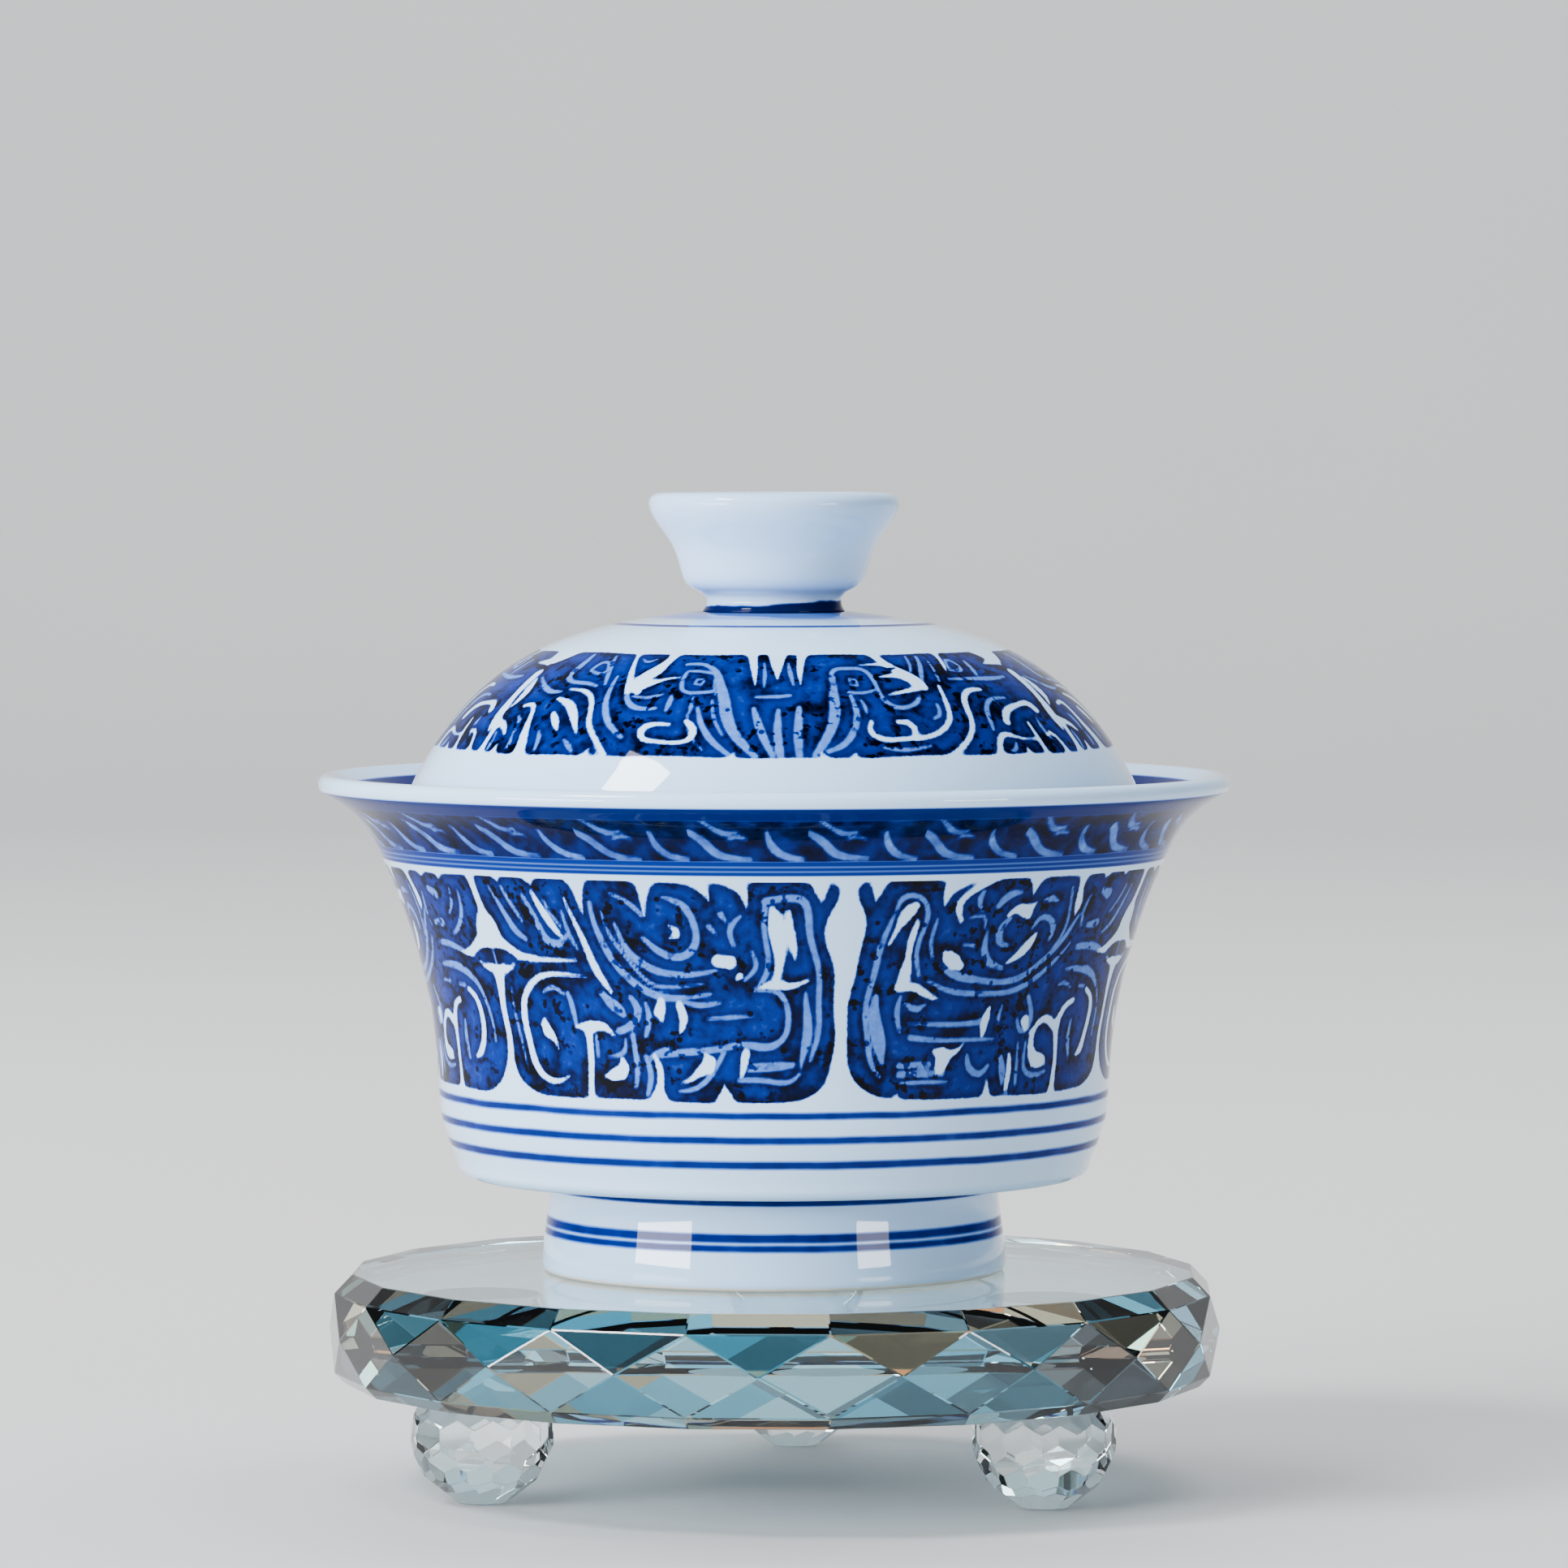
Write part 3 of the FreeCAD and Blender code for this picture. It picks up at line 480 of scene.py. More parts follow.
LID_RIGHT_PALE = [
    [(0, 89.4, 0.22), (2.3, 89.45, 0.16)],
    [(0, 88, 0.2), (0.1, 85.6, 0.36), (0.2, 83.2, 0.3)],
    [(3.7, 88.2, 0.28), (3.5, 85.6, 0.42), (3.2, 83.2, 0.3)],
    [(2.5, 92.8, 0.08), (2.9, 91.4, 0.26), (3.2, 90.5, 0.1)],
    [(11, 90.3, 0.18), (11.3, 91.4, 0.22), (12.4, 92.1, 0.25), (15.4, 92.25, 0.26), (18.6, 92.1, 0.26),
     (19.7, 91.4, 0.25), (19.9, 90.3, 0.24), (20.2, 89, 0.26), (21.4, 88.3, 0.28), (24.2, 88.15, 0.26),
     (27, 88.7, 0.24), (28.3, 89.4, 0.14)],
    [(14.7, 90.7, 0.12), (15, 91.2, 0.12), (15.9, 91.2, 0.12), (16.3, 90.8, 0.12), (15.9, 90.4, 0.12),
     (14.9, 90.45, 0.12)],
    [(19.2, 90, 0.12), (16.5, 89.7, 0.18), (13.4, 89.8, 0.12)],
    [(11.9, 91.4, 0.14), (11.2, 90.4, 0.36), (10.6, 89.2, 0.52), (10.1, 87.8, 0.58), (9.2, 86.2, 0.5),
     (7.6, 84.6, 0.42), (5.8, 83.2, 0.25)],
    [(13.9, 89.4, 0.16), (14, 87.8, 0.3), (13.2, 86, 0.32), (11, 84.4, 0.3), (8.2, 83.7, 0.22)],
    [(34.2, 93.4, 0.18), (33, 92.6, 0.28), (31.4, 91.6, 0.28), (30.8, 91, 0.18)],
    [(31.2, 93.5, 0.1), (30.2, 92.5, 0.18), (29.2, 91.9, 0.1)],
    [(40.2, 92, 0.24), (43.6, 92, 0.24), (43.9, 92.5, 0.2), (42.6, 93, 0.2), (41.3, 92.8, 0.2),
     (40.2, 92, 0.18)],
    [(37.6, 91.1, 0.14), (44, 91, 0.24), (50, 90.95, 0.3), (54.6, 91.1, 0.14)],
    [(48.5, 88.9, 0.12), (43.6, 88.7, 0.24), (41.4, 87.6, 0.3), (40.6, 86.4, 0.24), (40.2, 85.6, 0.12)],
    [(47.6, 92.8, 0.2), (47, 92, 0.34), (46.4, 91.4, 0.2)],
    [(15.6, 88.9, 0.12), (15.9, 88.2, 0.18), (15.8, 87.6, 0.1)],
    [(36.2, 92.9, 0.1), (35.3, 91.6, 0.16), (34.8, 90.9, 0.1)],
    [(28.8, 86.9, 0.12), (30.4, 87.3, 0.2), (31, 88.4, 0.14)],
    [(53.6, 86.6, 0.1), (53.4, 85.8, 0.22), (54.2, 84.6, 0.12)],
    [(44, 84.1, 0.1), (43.4, 83.5, 0.24), (42.2, 83.2, 0.14)],
    [(26.4, 84, 0.1), (22, 83.6, 0.2), (18, 83.9, 0.1)],
]


# %% [markdown]
# ## Strokes as depths
# A mesh can't hold a drawing, but each vertex can hold a number.  The most useful one is how
# deep inside the paint the vertex lies: the edge is where it passes zero, so the shader can put
# the edge between two vertices, fray it, and darken the paint near it.

# %% How far inside a stroke a place is
FAR = 9.0         # mm; a depth of -FAR means nowhere near
CHORD = 0.6       # mm between the points that follow a stroke
REACH = 2.0       # mm round a stroke in which its depth is worked out
HAIR = 0.04       # mm; no stroke is finer than this to each side
SOFT = 0.3        # mm; how wide the wet colour rounds a corner
REPEAT = 120      # degrees from one motif to the next


def ink(x, y, stroke, across, upward):
    """Depth inside one stroke in mm, negative outside it: the largest value of half width
    less distance, over the short chords that follow the stroke's smooth middle line."""
    points = np.array(stroke, float)
    points[:, 0] *= across
    points[:, 1] = upward(points[:, 1])
    curve = spline(points)
    line = along(curve, np.linspace(0, 1, max(3, int(curve[1].sum() / CHORD))))
    depth = np.full(x.shape, -FAR)
    reach = REACH + line[:, 2].max()
    low, high = line.min(axis=0) - reach, line.max(axis=0) + reach
    near = (x > low[0]) & (x < high[0]) & (y > low[1]) & (y < high[1])
    place = np.stack([x[near], y[near]], axis=1)[:, None]
    start, chord = line[:-1, :2], np.diff(line[:, :2], axis=0)
    share = np.clip(((place - start) * chord).sum(axis=2) / (chord**2).sum(axis=1), 0, 1)
    gap = np.linalg.norm(place - start - share[:, :, None] * chord, axis=2)
    half = np.maximum(line[:-1, 2] + share * np.diff(line[:, 2]), HAIR)
    depth[near] = (half - gap).max(axis=1)
    return depth


def inked(x, y, strokes, across, upward=np.asarray):
    """Depth inside the nearest of several strokes."""
    return np.max([ink(x, y, stroke, across, upward) for stroke in strokes], axis=0)


def left_out(field, x, y, strokes, across, upward=np.asarray):
    """Depth inside a field once strokes are cut from it.  Wet colour rounds every corner,
    so the least of all the depths is taken softly: -SOFT log(sum(exp(-depth / SOFT)))."""
    total = np.exp(-field / SOFT)
    for stroke in strokes:
        total += np.exp(np.minimum(ink(x, y, stroke, across, upward), FAR) / SOFT)
    return -SOFT * np.log(total)


def unsteady(turn, height):
    """The small wandering of a hand, in degrees and mm, the same after a whole turn."""
    a = np.radians(turn)
    sideways = 0.16 * np.sin(5 * a + 0.9 * height) + 0.12 * np.sin(11 * a - 0.5 * height + 1.3)
    upward = 0.09 * np.sin(7 * a + 0.31 * height + 0.4) + 0.06 * np.sin(17 * a + 0.8 * height)
    return sideways, upward


def motif(turn, middle):
    """Degrees right of the nearest middle line of a motif that goes round three times."""
    return (turn - middle + REPEAT / 2) % REPEAT - REPEAT / 2


# %% [markdown]
# ## The bowl's outline
# The outline is walked from the middle of the inside, up the wall, over the lip and down the
# outside to the foot ring and the recess under it.  The outside is drawn first; the inside is
# the same curve moved in by the thickness of the wall, as it is on the wheel.

# %% Outline of the bowl
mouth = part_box("bowl")[1][0] / MM
wall = 2.2
belly = (37.5, stand_top + 20.5)
heel = (34.0, stand_top + 10.8)
heel_round = 1.5
foot_top = (25.2, stand_top + 10.1)
foot_low = 26.0
foot_wall = 2.6
foot_round = 0.9
floor_height = foot_top[1] + 3.2
lip_lean = math.radians(34)
lip_way = np.array([math.cos(lip_lean), math.sin(lip_lean)])
lip_side = np.array([math.sin(lip_lean), -math.cos(lip_lean)])
lip_centre = np.array([mouth - wall / 2, lip_top - wall / 2])
lip_outside = lip_centre + lip_side * wall / 2

cone = between((heel[0] + heel_round, heel[1] + heel_round), belly, [(0, 0), (0.55, 0.36), (0.9, 0.68)])
flare = between(
    belly, lip_outside, [(0, 0), (0.07, 0.274), (0.24, 0.535), (0.443, 0.743), (0.69, 0.91), (1, 1)]
)
outer_wall = along(spline(np.concatenate([cone, flare]), (0.35, 1), lip_way), np.linspace(0, 1, 400))


def offset(path, distance):
    """The path moved sideways, to its left, by a distance at every point."""
    way = np.gradient(path, axis=0)
    way /= np.hypot(way[:, 0], way[:, 1])[:, None]
    return path + np.stack([-way[:, 1], way[:, 0]], axis=1) * distance


above_belly = outer_wall[outer_wall[:, 1] >= belly[1]]
inner_wall = offset(above_belly, wall)
well_turn = np.linspace(0, math.pi / 2, 60)
well_power = 2 / 2.7                      # below 1, so the well is squarer than an ellipse
well_start = inner_wall[0]
well = np.stack(
    [
        well_start[0] * np.cos(well_turn) ** well_power,
        well_start[1] - (well_start[1] - floor_height) * np.sin(well_turn) ** well_power,
    ],
    axis=1,
)
foot_side = along(
    spline(
        [foot_top, (25.44, stand_top + 6.3), (foot_low, stand_top + foot_round)], (0, -1), (0, -1)
    ),
    np.linspace(0, 1, 60),
)
foot_inside = foot_low - foot_wall
recess_round = 1.2
print("bowl: mouth", round(mouth, 2), "belly", belly[0], "foot", foot_low, "mm in radius")

# %% [markdown]
# The painted bands take fine rings, the plain parts coarse ones.  `stretch` cuts a piece of
# the outline into even rings and says how many vertices each of them gets.

# %% Rings of the bowl
FINE, PLAIN = 800, 200
frieze_low, frieze_high = 45.2, 69.9      # the main painted frieze
border_high = 77.4                        # top of the narrow border under the lip


def stretch(path, gap, count):
    """An even run of rings: their (radius, height) and vertex counts."""
    path = even(np.asarray(path, float), gap)
    return path, np.full(len(path), count)


def joined(parts):
    """Several stretches end to end, without the ring that two of them share."""
    paths, counts = [parts[0][0]], [parts[0][1]]
    for path, count in parts[1:]:
        paths.append(path[1:])
        counts.append(count[1:])
    return np.concatenate(paths), np.concatenate(counts)


def height_between(path, low, high):
    """The part of a rising or falling path between two heights, with exact ends."""
    order = path if path[-1, 1] > path[0, 1] else path[::-1]
    inside = order[(order[:, 1] > low) & (order[:, 1] < high)]
    ends = [np.interp(level, order[:, 1], order[:, 0]) for level in (low, high)]
    cut = np.concatenate([[(ends[0], low)], inside, [(ends[1], high)]])
    return cut if path[-1, 1] > path[0, 1] else cut[::-1]


down = outer_wall[::-1]
wall_top, wall_low = outer_wall[-1, 1], outer_wall[0, 1]
lean = math.degrees(lip_lean)
recess = (foot_inside - recess_round, foot_top[1] - recess_round)
bowl_parts = [
    stretch(well[::-1], 2.0, PLAIN),
    stretch(inner_wall, 1.6, PLAIN),
    stretch(arc(lip_centre, wall / 2, 90 + lean, -90 + lean, 0.3), 0.3, PLAIN),
    stretch(height_between(down, border_high, wall_top), 0.5, PLAIN),
    stretch(height_between(down, frieze_high, border_high), 0.43, FINE),
    stretch(height_between(down, frieze_low, frieze_high), 0.37, FINE),
    stretch(height_between(down, wall_low, frieze_low), 1.0, PLAIN),
    stretch(arc((heel[0], heel[1] + heel_round), heel_round, 0, -90, 0.35), 0.35, PLAIN),
    stretch([heel, foot_top], 1.4, PLAIN),
    stretch(foot_side, 0.8, PLAIN),
    stretch(arc((foot_low - foot_round, stand_top + foot_round), foot_round, 0, -90, 0.3), 0.3, PLAIN),
    stretch([(foot_low - foot_round, stand_top), (foot_inside + foot_round, stand_top)], 0.4, PLAIN),
    stretch(arc((foot_inside + foot_round, stand_top + foot_round), foot_round, -90, -180, 0.3), 0.3, PLAIN),
    stretch([(foot_inside, stand_top + foot_round), (foot_inside, recess[1])], 1.4, PLAIN),
    stretch(arc(recess, recess_round, 0, 90, 0.4), 0.4, PLAIN),
    stretch([(recess[0], foot_top[1]), (0, foot_top[1])], 2.2, PLAIN),
]
outline, counts = joined(bowl_parts)
counts[0] = counts[-1] = 1
bowl, bowl_points, bowl_ring = turned("porcelain_bowl", outline, counts)
lip_ring = int(np.argmax(outline[:, 1]))
give(bowl, "outside", (bowl_ring > lip_ring).astype(float))
print("bowl volume", round(volume(bowl), 2), "cm3")
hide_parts("bowl")
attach(bowl, "bowl")

# %% [markdown]
# ## Painting the bowl
# The decorator turns the bowl on a banding wheel and paints the frieze first, then a border of
# twenty-three small waves under the lip.  The strokes are measured on the bowl laid flat,
# 0.7 mm to the degree, which is its girth at the frieze.  Two numbers go on every vertex: how
# deep it lies in the blue, and how deep in a pale line.

# %% Paint the bowl
ACROSS = 0.7                              # mm to the degree at the frieze
ACROSS_BORDER = 0.8                       # and at the border
FRIEZE_MIDDLE = 10.8                      # degrees; the middle line of the nearest motif
frieze_field = (45.9, 69.9)               # heights between which blue is laid
WAVES = 23
WAVE_START = 11.5                         # degrees
margin = 0.1
turn = np.degrees(np.arctan2(bowl_points[:, 0], -bowl_points[:, 1]))
height = bowl_points[:, 2]
outside = bowl_ring > lip_ring
sideways, upward = unsteady(turn, height)
on_frieze = outside & (height > frieze_low - margin) & (height < frieze_high + margin)
on_border = outside & (height > frieze_high + margin) & (height < border_high + margin)
blue = np.full(len(height), -FAR)
pale = np.full(len(height), -FAR)

side = motif(turn + sideways, FRIEZE_MIDDLE)
for half, whites, pales in ((side < 0, LEFT_WHITE, LEFT_PALE), (side >= 0, RIGHT_WHITE, RIGHT_PALE)):
    here = on_frieze & half
    x = np.abs(side[here]) * ACROSS
    y = height[here] + upward[here]
    field = np.minimum(y - frieze_field[0], frieze_field[1] - y)
    field = left_out(field, x, y, GAPS + whites, ACROSS)
    blue[here] = np.maximum(field, inked(x, y, LEAVES, ACROSS))
    pale[here] = inked(x, y, TICKS + pales, ACROSS)

x = ((turn[on_border] + sideways[on_border] + WAVE_START) % (360 / WAVES)) * ACROSS_BORDER
y = height[on_border] + 0.5 * upward[on_border]
shifts = (0, 360 / WAVES * ACROSS_BORDER)
pale[on_border] = np.max([inked(x + shift, y, BORDER_PALE, ACROSS_BORDER) for shift in shifts], axis=0)
give(bowl, "blue", blue)
give(bowl, "pale", pale)
print("bowl: blue covers", round(float((blue[on_frieze] > 0).mean()), 2), "of its frieze")

# %% [markdown]
# ## The lid and its knob
# The lid is a dome of even thickness with a round edge that rests inside the flare.  The knob
# is thrown as a little flared cup of its own and luted to the crown of the lid with slip.

# %% Outline of the lid
lid_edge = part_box("lid")[1][0] / MM
lid_wall = 2.2
crown_flat = 8.55
dome_points = between(
    (lid_edge, lid_bottom + lid_wall / 2),
    (crown_flat, crown),
    [(0, 0), (0.105, 0.376), (0.234, 0.604), (0.431, 0.805), (0.737, 0.95), (1, 1)],
)
dome = along(spline(dome_points, (0, 1), (-1, 0.12)), np.linspace(0, 1, 400))
dome[:, 1] = np.minimum(dome[:, 1], crown)
dome_inside = offset(dome, lid_wall)
dome_inside[0] = (lid_edge - lid_wall, lid_bottom + lid_wall / 2)
dome_inside[-1] = (crown_flat, crown - lid_wall)
lid_frieze = (82.4, 94.0)                 # heights of the painted band
LID_FINE, LID_PLAIN = 960, 240
edge_arc = arc((lid_edge - lid_wall / 2, lid_bottom + lid_wall / 2), lid_wall / 2, -180, 0, 0.3)
lid_parts = [
    stretch([(0, crown - lid_wall), (crown_flat, crown - lid_wall)], 2.0, LID_PLAIN),
    stretch(dome_inside[::-1], 1.2, LID_PLAIN),
    stretch(edge_arc, 0.3, LID_PLAIN),
    stretch(height_between(dome, dome[0, 1], lid_frieze[0]), 0.8, LID_PLAIN),
    stretch(height_between(dome, *lid_frieze), 0.26, LID_FINE),
    stretch(height_between(dome, lid_frieze[1], crown), 0.8, LID_PLAIN),
    stretch([(crown_flat, crown), (0, crown)], 1.4, LID_PLAIN),
]
outline, counts = joined(lid_parts)
counts[0] = counts[-1] = 1
lid, lid_points, lid_ring = turned("porcelain_lid", outline, counts)
edge_ring = int(np.argmax(outline[:, 0]))
give(lid, "outside", (lid_ring > edge_ring).astype(float))
print("lid volume", round(volume(lid), 2), "cm3")
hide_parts("lid")
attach(lid, "lid")

# %% [markdown]
# ## Painting the lid
# The lid's band answers the frieze below it, with the same three repeats.  The dome lies flatter
# near its crown, so a stroke's height is turned into distance along the surface, and lines stay
# as wide near the crown as they are low down.

# %% Paint the lid
ACROSS_LID = 0.59                         # mm to the degree at the band
LID_MIDDLE = 0.8                          # degrees
lid_field = (83.0, 93.7)
run = np.concatenate([[0], np.cumsum(np.hypot(*np.diff(dome, axis=0).T))])


def along_dome(level):
    """Distance in mm from the lid's edge up the dome to a height."""
    return np.interp(level, dome[:, 1], run)


turn = np.degrees(np.arctan2(lid_points[:, 0], -lid_points[:, 1]))
height = lid_points[:, 2]
on_band = (lid_ring > edge_ring) & (height > lid_frieze[0] - margin) & (height < lid_frieze[1] + margin)
sideways, upward = unsteady(turn[on_band], height[on_band])
side = motif(turn[on_band] + sideways, LID_MIDDLE)
blue = np.full(len(height), -FAR)
pale = np.full(len(height), -FAR)
for half, whites, leaves, pales in (
    (side < 0, LID_LEFT_WHITE, LID_LEFT_LEAF, LID_LEFT_PALE),
    (side >= 0, LID_RIGHT_WHITE, LID_RIGHT_LEAF, LID_RIGHT_PALE),
):
    here = np.flatnonzero(on_band)[half]
    x = np.abs(side[half]) * ACROSS_LID
    y = along_dome(height[here]) + upward[half]
    field = np.minimum(y - along_dome(lid_field[0]), along_dome(lid_field[1]) - y)
    field = left_out(field, x, y, LID_GAPS + whites, ACROSS_LID, along_dome)
    blue[here] = np.maximum(field, inked(x, y, leaves, ACROSS_LID, along_dome))
    pale[here] = inked(x, y, pales, ACROSS_LID, along_dome)
give(lid, "blue", blue)
give(lid, "pale", pale)
print("lid: blue covers", round(float((blue[on_band] > 0).mean()), 2), "of its band")

# %% [markdown]
# ## The knob
# The knob doubles as a little cup: turned upside down, the lid stands on it.  Its wall leans out
# in an ogee, which is a curve that bends one way and then the other, up to a round rim, and it is
# hollow.  It is one more turned outline, with rings as fine as its small size needs.

# %% Turn the knob
knob_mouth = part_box("lid_knob")[1][0] / MM
knob_foot = 8.0
knob_neck = (7.55, crown + 1.3)
hollow_floor = crown + 5.4
knob_wall = 2.6
rim_centre = (knob_mouth - knob_wall / 2, knob_top - knob_wall / 2)
ogee = between(
    knob_neck,
    (knob_mouth, rim_centre[1]),
    [(0, 0), (0.3, 0.14), (0.46, 0.34), (0.58, 0.55), (0.82, 0.77), (1, 1)],
)
hollow = between(
    (knob_mouth - knob_wall, rim_centre[1]), (0, hollow_floor), [(0, 0), (0.2, 0.45), (0.45, 0.82), (1, 1)]
)
collar = spline([(knob_foot, crown), (7.64, crown + 0.6), knob_neck])
KNOB = 180
knob_parts = [
    stretch([(0, crown), (knob_foot, crown)], 1.6, KNOB),
    stretch(along(collar, np.linspace(0, 1, 30)), 0.3, KNOB),
    stretch(along(spline(ogee, (0.1, 1), (0.1, 1)), np.linspace(0, 1, 200)), 0.4, KNOB),
    stretch(arc(rim_centre, knob_wall / 2, 0, 180, 0.25), 0.25, KNOB),
    stretch(along(spline(hollow, (-0.15, -1), (-1, 0)), np.linspace(0, 1, 200)), 0.6, KNOB),
]
outline, counts = joined(knob_parts)
counts[0] = counts[-1] = 1
knob = turned("porcelain_knob", outline, counts)[0]
print("knob volume", round(volume(knob), 2), "cm3")
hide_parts("lid_knob")
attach(knob, "lid")

# %% [markdown]
# ## Shader trees written as arithmetic
# A material is a tree of small calculations.  Clicked together by hand it is quick to start
# and hard to read back; written as expressions it reads like the formula it is.  `Value` wraps
# one output socket, and its operators add Math nodes.

# %% Values and finishes
class Value:
    """One output socket.  + - * / and ** between values and numbers add Math nodes."""

    def __init__(self, finish, socket):
        self.finish, self.socket = finish, socket

    def maths(self, operation, first, second=0.0, clamp=False):
        settings = {"operation": operation, "use_clamp": clamp}
        return self.finish.node("ShaderNodeMath", settings, {0: first, 1: second})

    def __add__(self, other):
        return self.maths("ADD", self, other)

    def __sub__(self, other):
        return self.maths("SUBTRACT", self, other)

    def __rsub__(self, other):
        return self.maths("SUBTRACT", other, self)

    def __mul__(self, other):
        return self.maths("MULTIPLY", self, other)

    def __truediv__(self, other):
        return self.maths("DIVIDE", self, other)

    def __pow__(self, other):
        return self.maths("POWER", self, other)

    __radd__ = __add__
    __rmul__ = __mul__

    def most(self, other):
        return self.maths("MAXIMUM", self, other)

    def clamped(self):
        return self.maths("ADD", self, 0.0, clamp=True)

    def size(self):
        return self.maths("ABSOLUTE", self)

    def ramp(self, low, high):
        """0 below low and 1 above high, with a smooth step between them."""
        settings = {"interpolation_type": "SMOOTHSTEP"}
        return self.finish.node("ShaderNodeMapRange", settings, {0: self, 1: low, 2: high})


class Finish:
    """A material with a Principled shader; constants are set on the shader's own sockets."""

    def __init__(self, name, **constants):
        self.material = bpy.data.materials.new(name)
        self.material.use_nodes = True
        self.tree = self.material.node_tree
        self.shader = self.tree.nodes["Principled BSDF"]
        for socket, value in constants.items():
            self.shader.inputs[socket.replace("_", " ")].default_value = value

    def node(self, kind, settings, sockets, output=0):
        """Any node: its settings first, then the values or links of its sockets."""
        node = self.tree.nodes.new(kind)
        for key, value in settings.items():
            setattr(node, key, value)
        for key, value in sockets.items():
            self.link(node.inputs[key], value)
        return Value(self, node.outputs[output])

    def link(self, socket, value):
        if isinstance(value, Value):
            self.tree.links.new(value.socket, socket)
        else:
            socket.default_value = value

    def feed(self, **sockets):
        for socket, value in sockets.items():
            self.link(self.shader.inputs[socket.replace("_", " ")], value)

    def place(self):
        """Object coordinates in millimetres, as x, y and z values."""
        coordinates = self.node("ShaderNodeTexCoord", {}, {}, "Object")
        scaled = self.node("ShaderNodeVectorMath", {"operation": "SCALE"}, {0: coordinates, "Scale": 1 / MM})
        parts = self.tree.nodes.new("ShaderNodeSeparateXYZ")
        self.tree.links.new(scaled.socket, parts.inputs[0])
        return scaled, [Value(self, output) for output in parts.outputs]

    def stored(self, name):
        """A number kept on the piece's vertices."""
        return self.node("ShaderNodeAttribute", {"attribute_name": name}, {}, "Fac")

    def noise(self, where, scale, detail=2.0, roughness=0.5):
        sockets = {"Vector": where, "Scale": scale, "Detail": detail, "Roughness": roughness}
        return self.node("ShaderNodeTexNoise", {}, sockets)

    def mixed(self, share, first, second):
        """The second colour over the first, by a share of 0 to 1."""
        settings = {"data_type": "RGBA"}
        return self.node("ShaderNodeMix", settings, {0: share, 6: first, 7: second}, 2)


def colour(red, green, blue):
    """A colour given as 0..255 screen values, made linear for the shader."""
    screen = np.array([red, green, blue]) / 255
    linear = np.where(screen <= 0.04045, screen / 12.92, ((screen + 0.055) / 1.055) ** 2.4)
    return (*linear.tolist(), 1.0)


def wear(piece, finish):
    piece.data.materials.clear()
    piece.data.materials.append(finish.material)


# %% [markdown]
# ## Camera, floor and light
# The camera stands about as high as the top of the knob and nine-tenths of a metre away, with a
# long lens, which is how small ware is usually shown: nearly level, with almost no perspective.
# The floor is a pale sweep that curves up into a wall, so no edge shows behind the piece.  Long
# low softboxes stand in for windows; the rest fill the shadows and aren't mirrored in the glaze.

# %% Camera
camera = bpy.data.objects.new("camera", bpy.data.cameras.new("camera"))
camera.data.lens = 184.8
camera.data.sensor_width = 36.0
camera.data.clip_start = 0.01
camera.location = (0.0, -0.900, 0.1164)
camera.rotation_euler = (math.radians(90 - 2.407), 0, math.radians(-0.072))
bpy.context.scene.collection.objects.link(camera)
bpy.context.scene.camera = camera
print("camera", round(float(np.linalg.norm(camera.location)), 3), "m from the middle of the floor")

# %% Sweep
floor_top = -0.0002                       # m; a hair under the feet
floor_front, bend_start, bend_radius, wall_height = -3.0, 1.6, 0.9, 3.5
half_width = 3.0
bend = np.radians(np.linspace(-90, 0, 25))
section = np.concatenate(
    [
        [(floor_front, floor_top), (0.0, floor_top)],
        np.stack(
            [
                bend_start + bend_radius * np.cos(bend),
                bend_radius + floor_top + bend_radius * np.sin(bend),
            ],
            axis=1,
        ),
        [(bend_start + bend_radius, wall_height)],
    ]
)
sides = np.repeat([-half_width, half_width], len(section))
corners = np.column_stack([sides, np.tile(section, (2, 1))])
n = len(section)
strips = [(i, n + i, n + i + 1, i + 1) for i in range(n - 1)]
sweep_mesh = bpy.data.meshes.new("sweep")
sweep_mesh.from_pydata(corners.tolist(), [], strips)
sweep = bpy.data.objects.new("sweep", sweep_mesh)
bpy.context.scene.collection.objects.link(sweep)
for face in sweep_mesh.polygons:
    face.use_smooth = True
sweep_finish = Finish("pale paper sweep", Roughness=0.6)
grain = sweep_finish.noise(sweep_finish.place()[0], 0.004, 2.0)
sweep_finish.feed(Base_Color=sweep_finish.mixed(grain, colour(200, 201, 202), colour(195, 196, 198)))
wear(sweep, sweep_finish)
print("sweep of", len(strips), "strips")


# %% Lights
def soft_light(name, place, aim, size, power, tint=(1, 1, 1), seen=True):
    """A rectangular softbox at a place, turned to face another."""
    lamp = bpy.data.lights.new(name, "AREA")
    lamp.shape = "RECTANGLE"
    lamp.size, lamp.size_y = size
    lamp.energy = power
    lamp.color = tint
    light = bpy.data.objects.new(name, lamp)
    light.location = place
    way = np.array(aim, float) - np.array(place, float)
    flat = math.hypot(way[0], way[1])
    light.rotation_euler = (math.pi / 2 + math.atan2(way[2], flat), 0, math.atan2(-way[0], way[1]))
    light.visible_glossy = seen
    bpy.context.scene.collection.objects.link(light)
    print(name, "gives", power, "W")


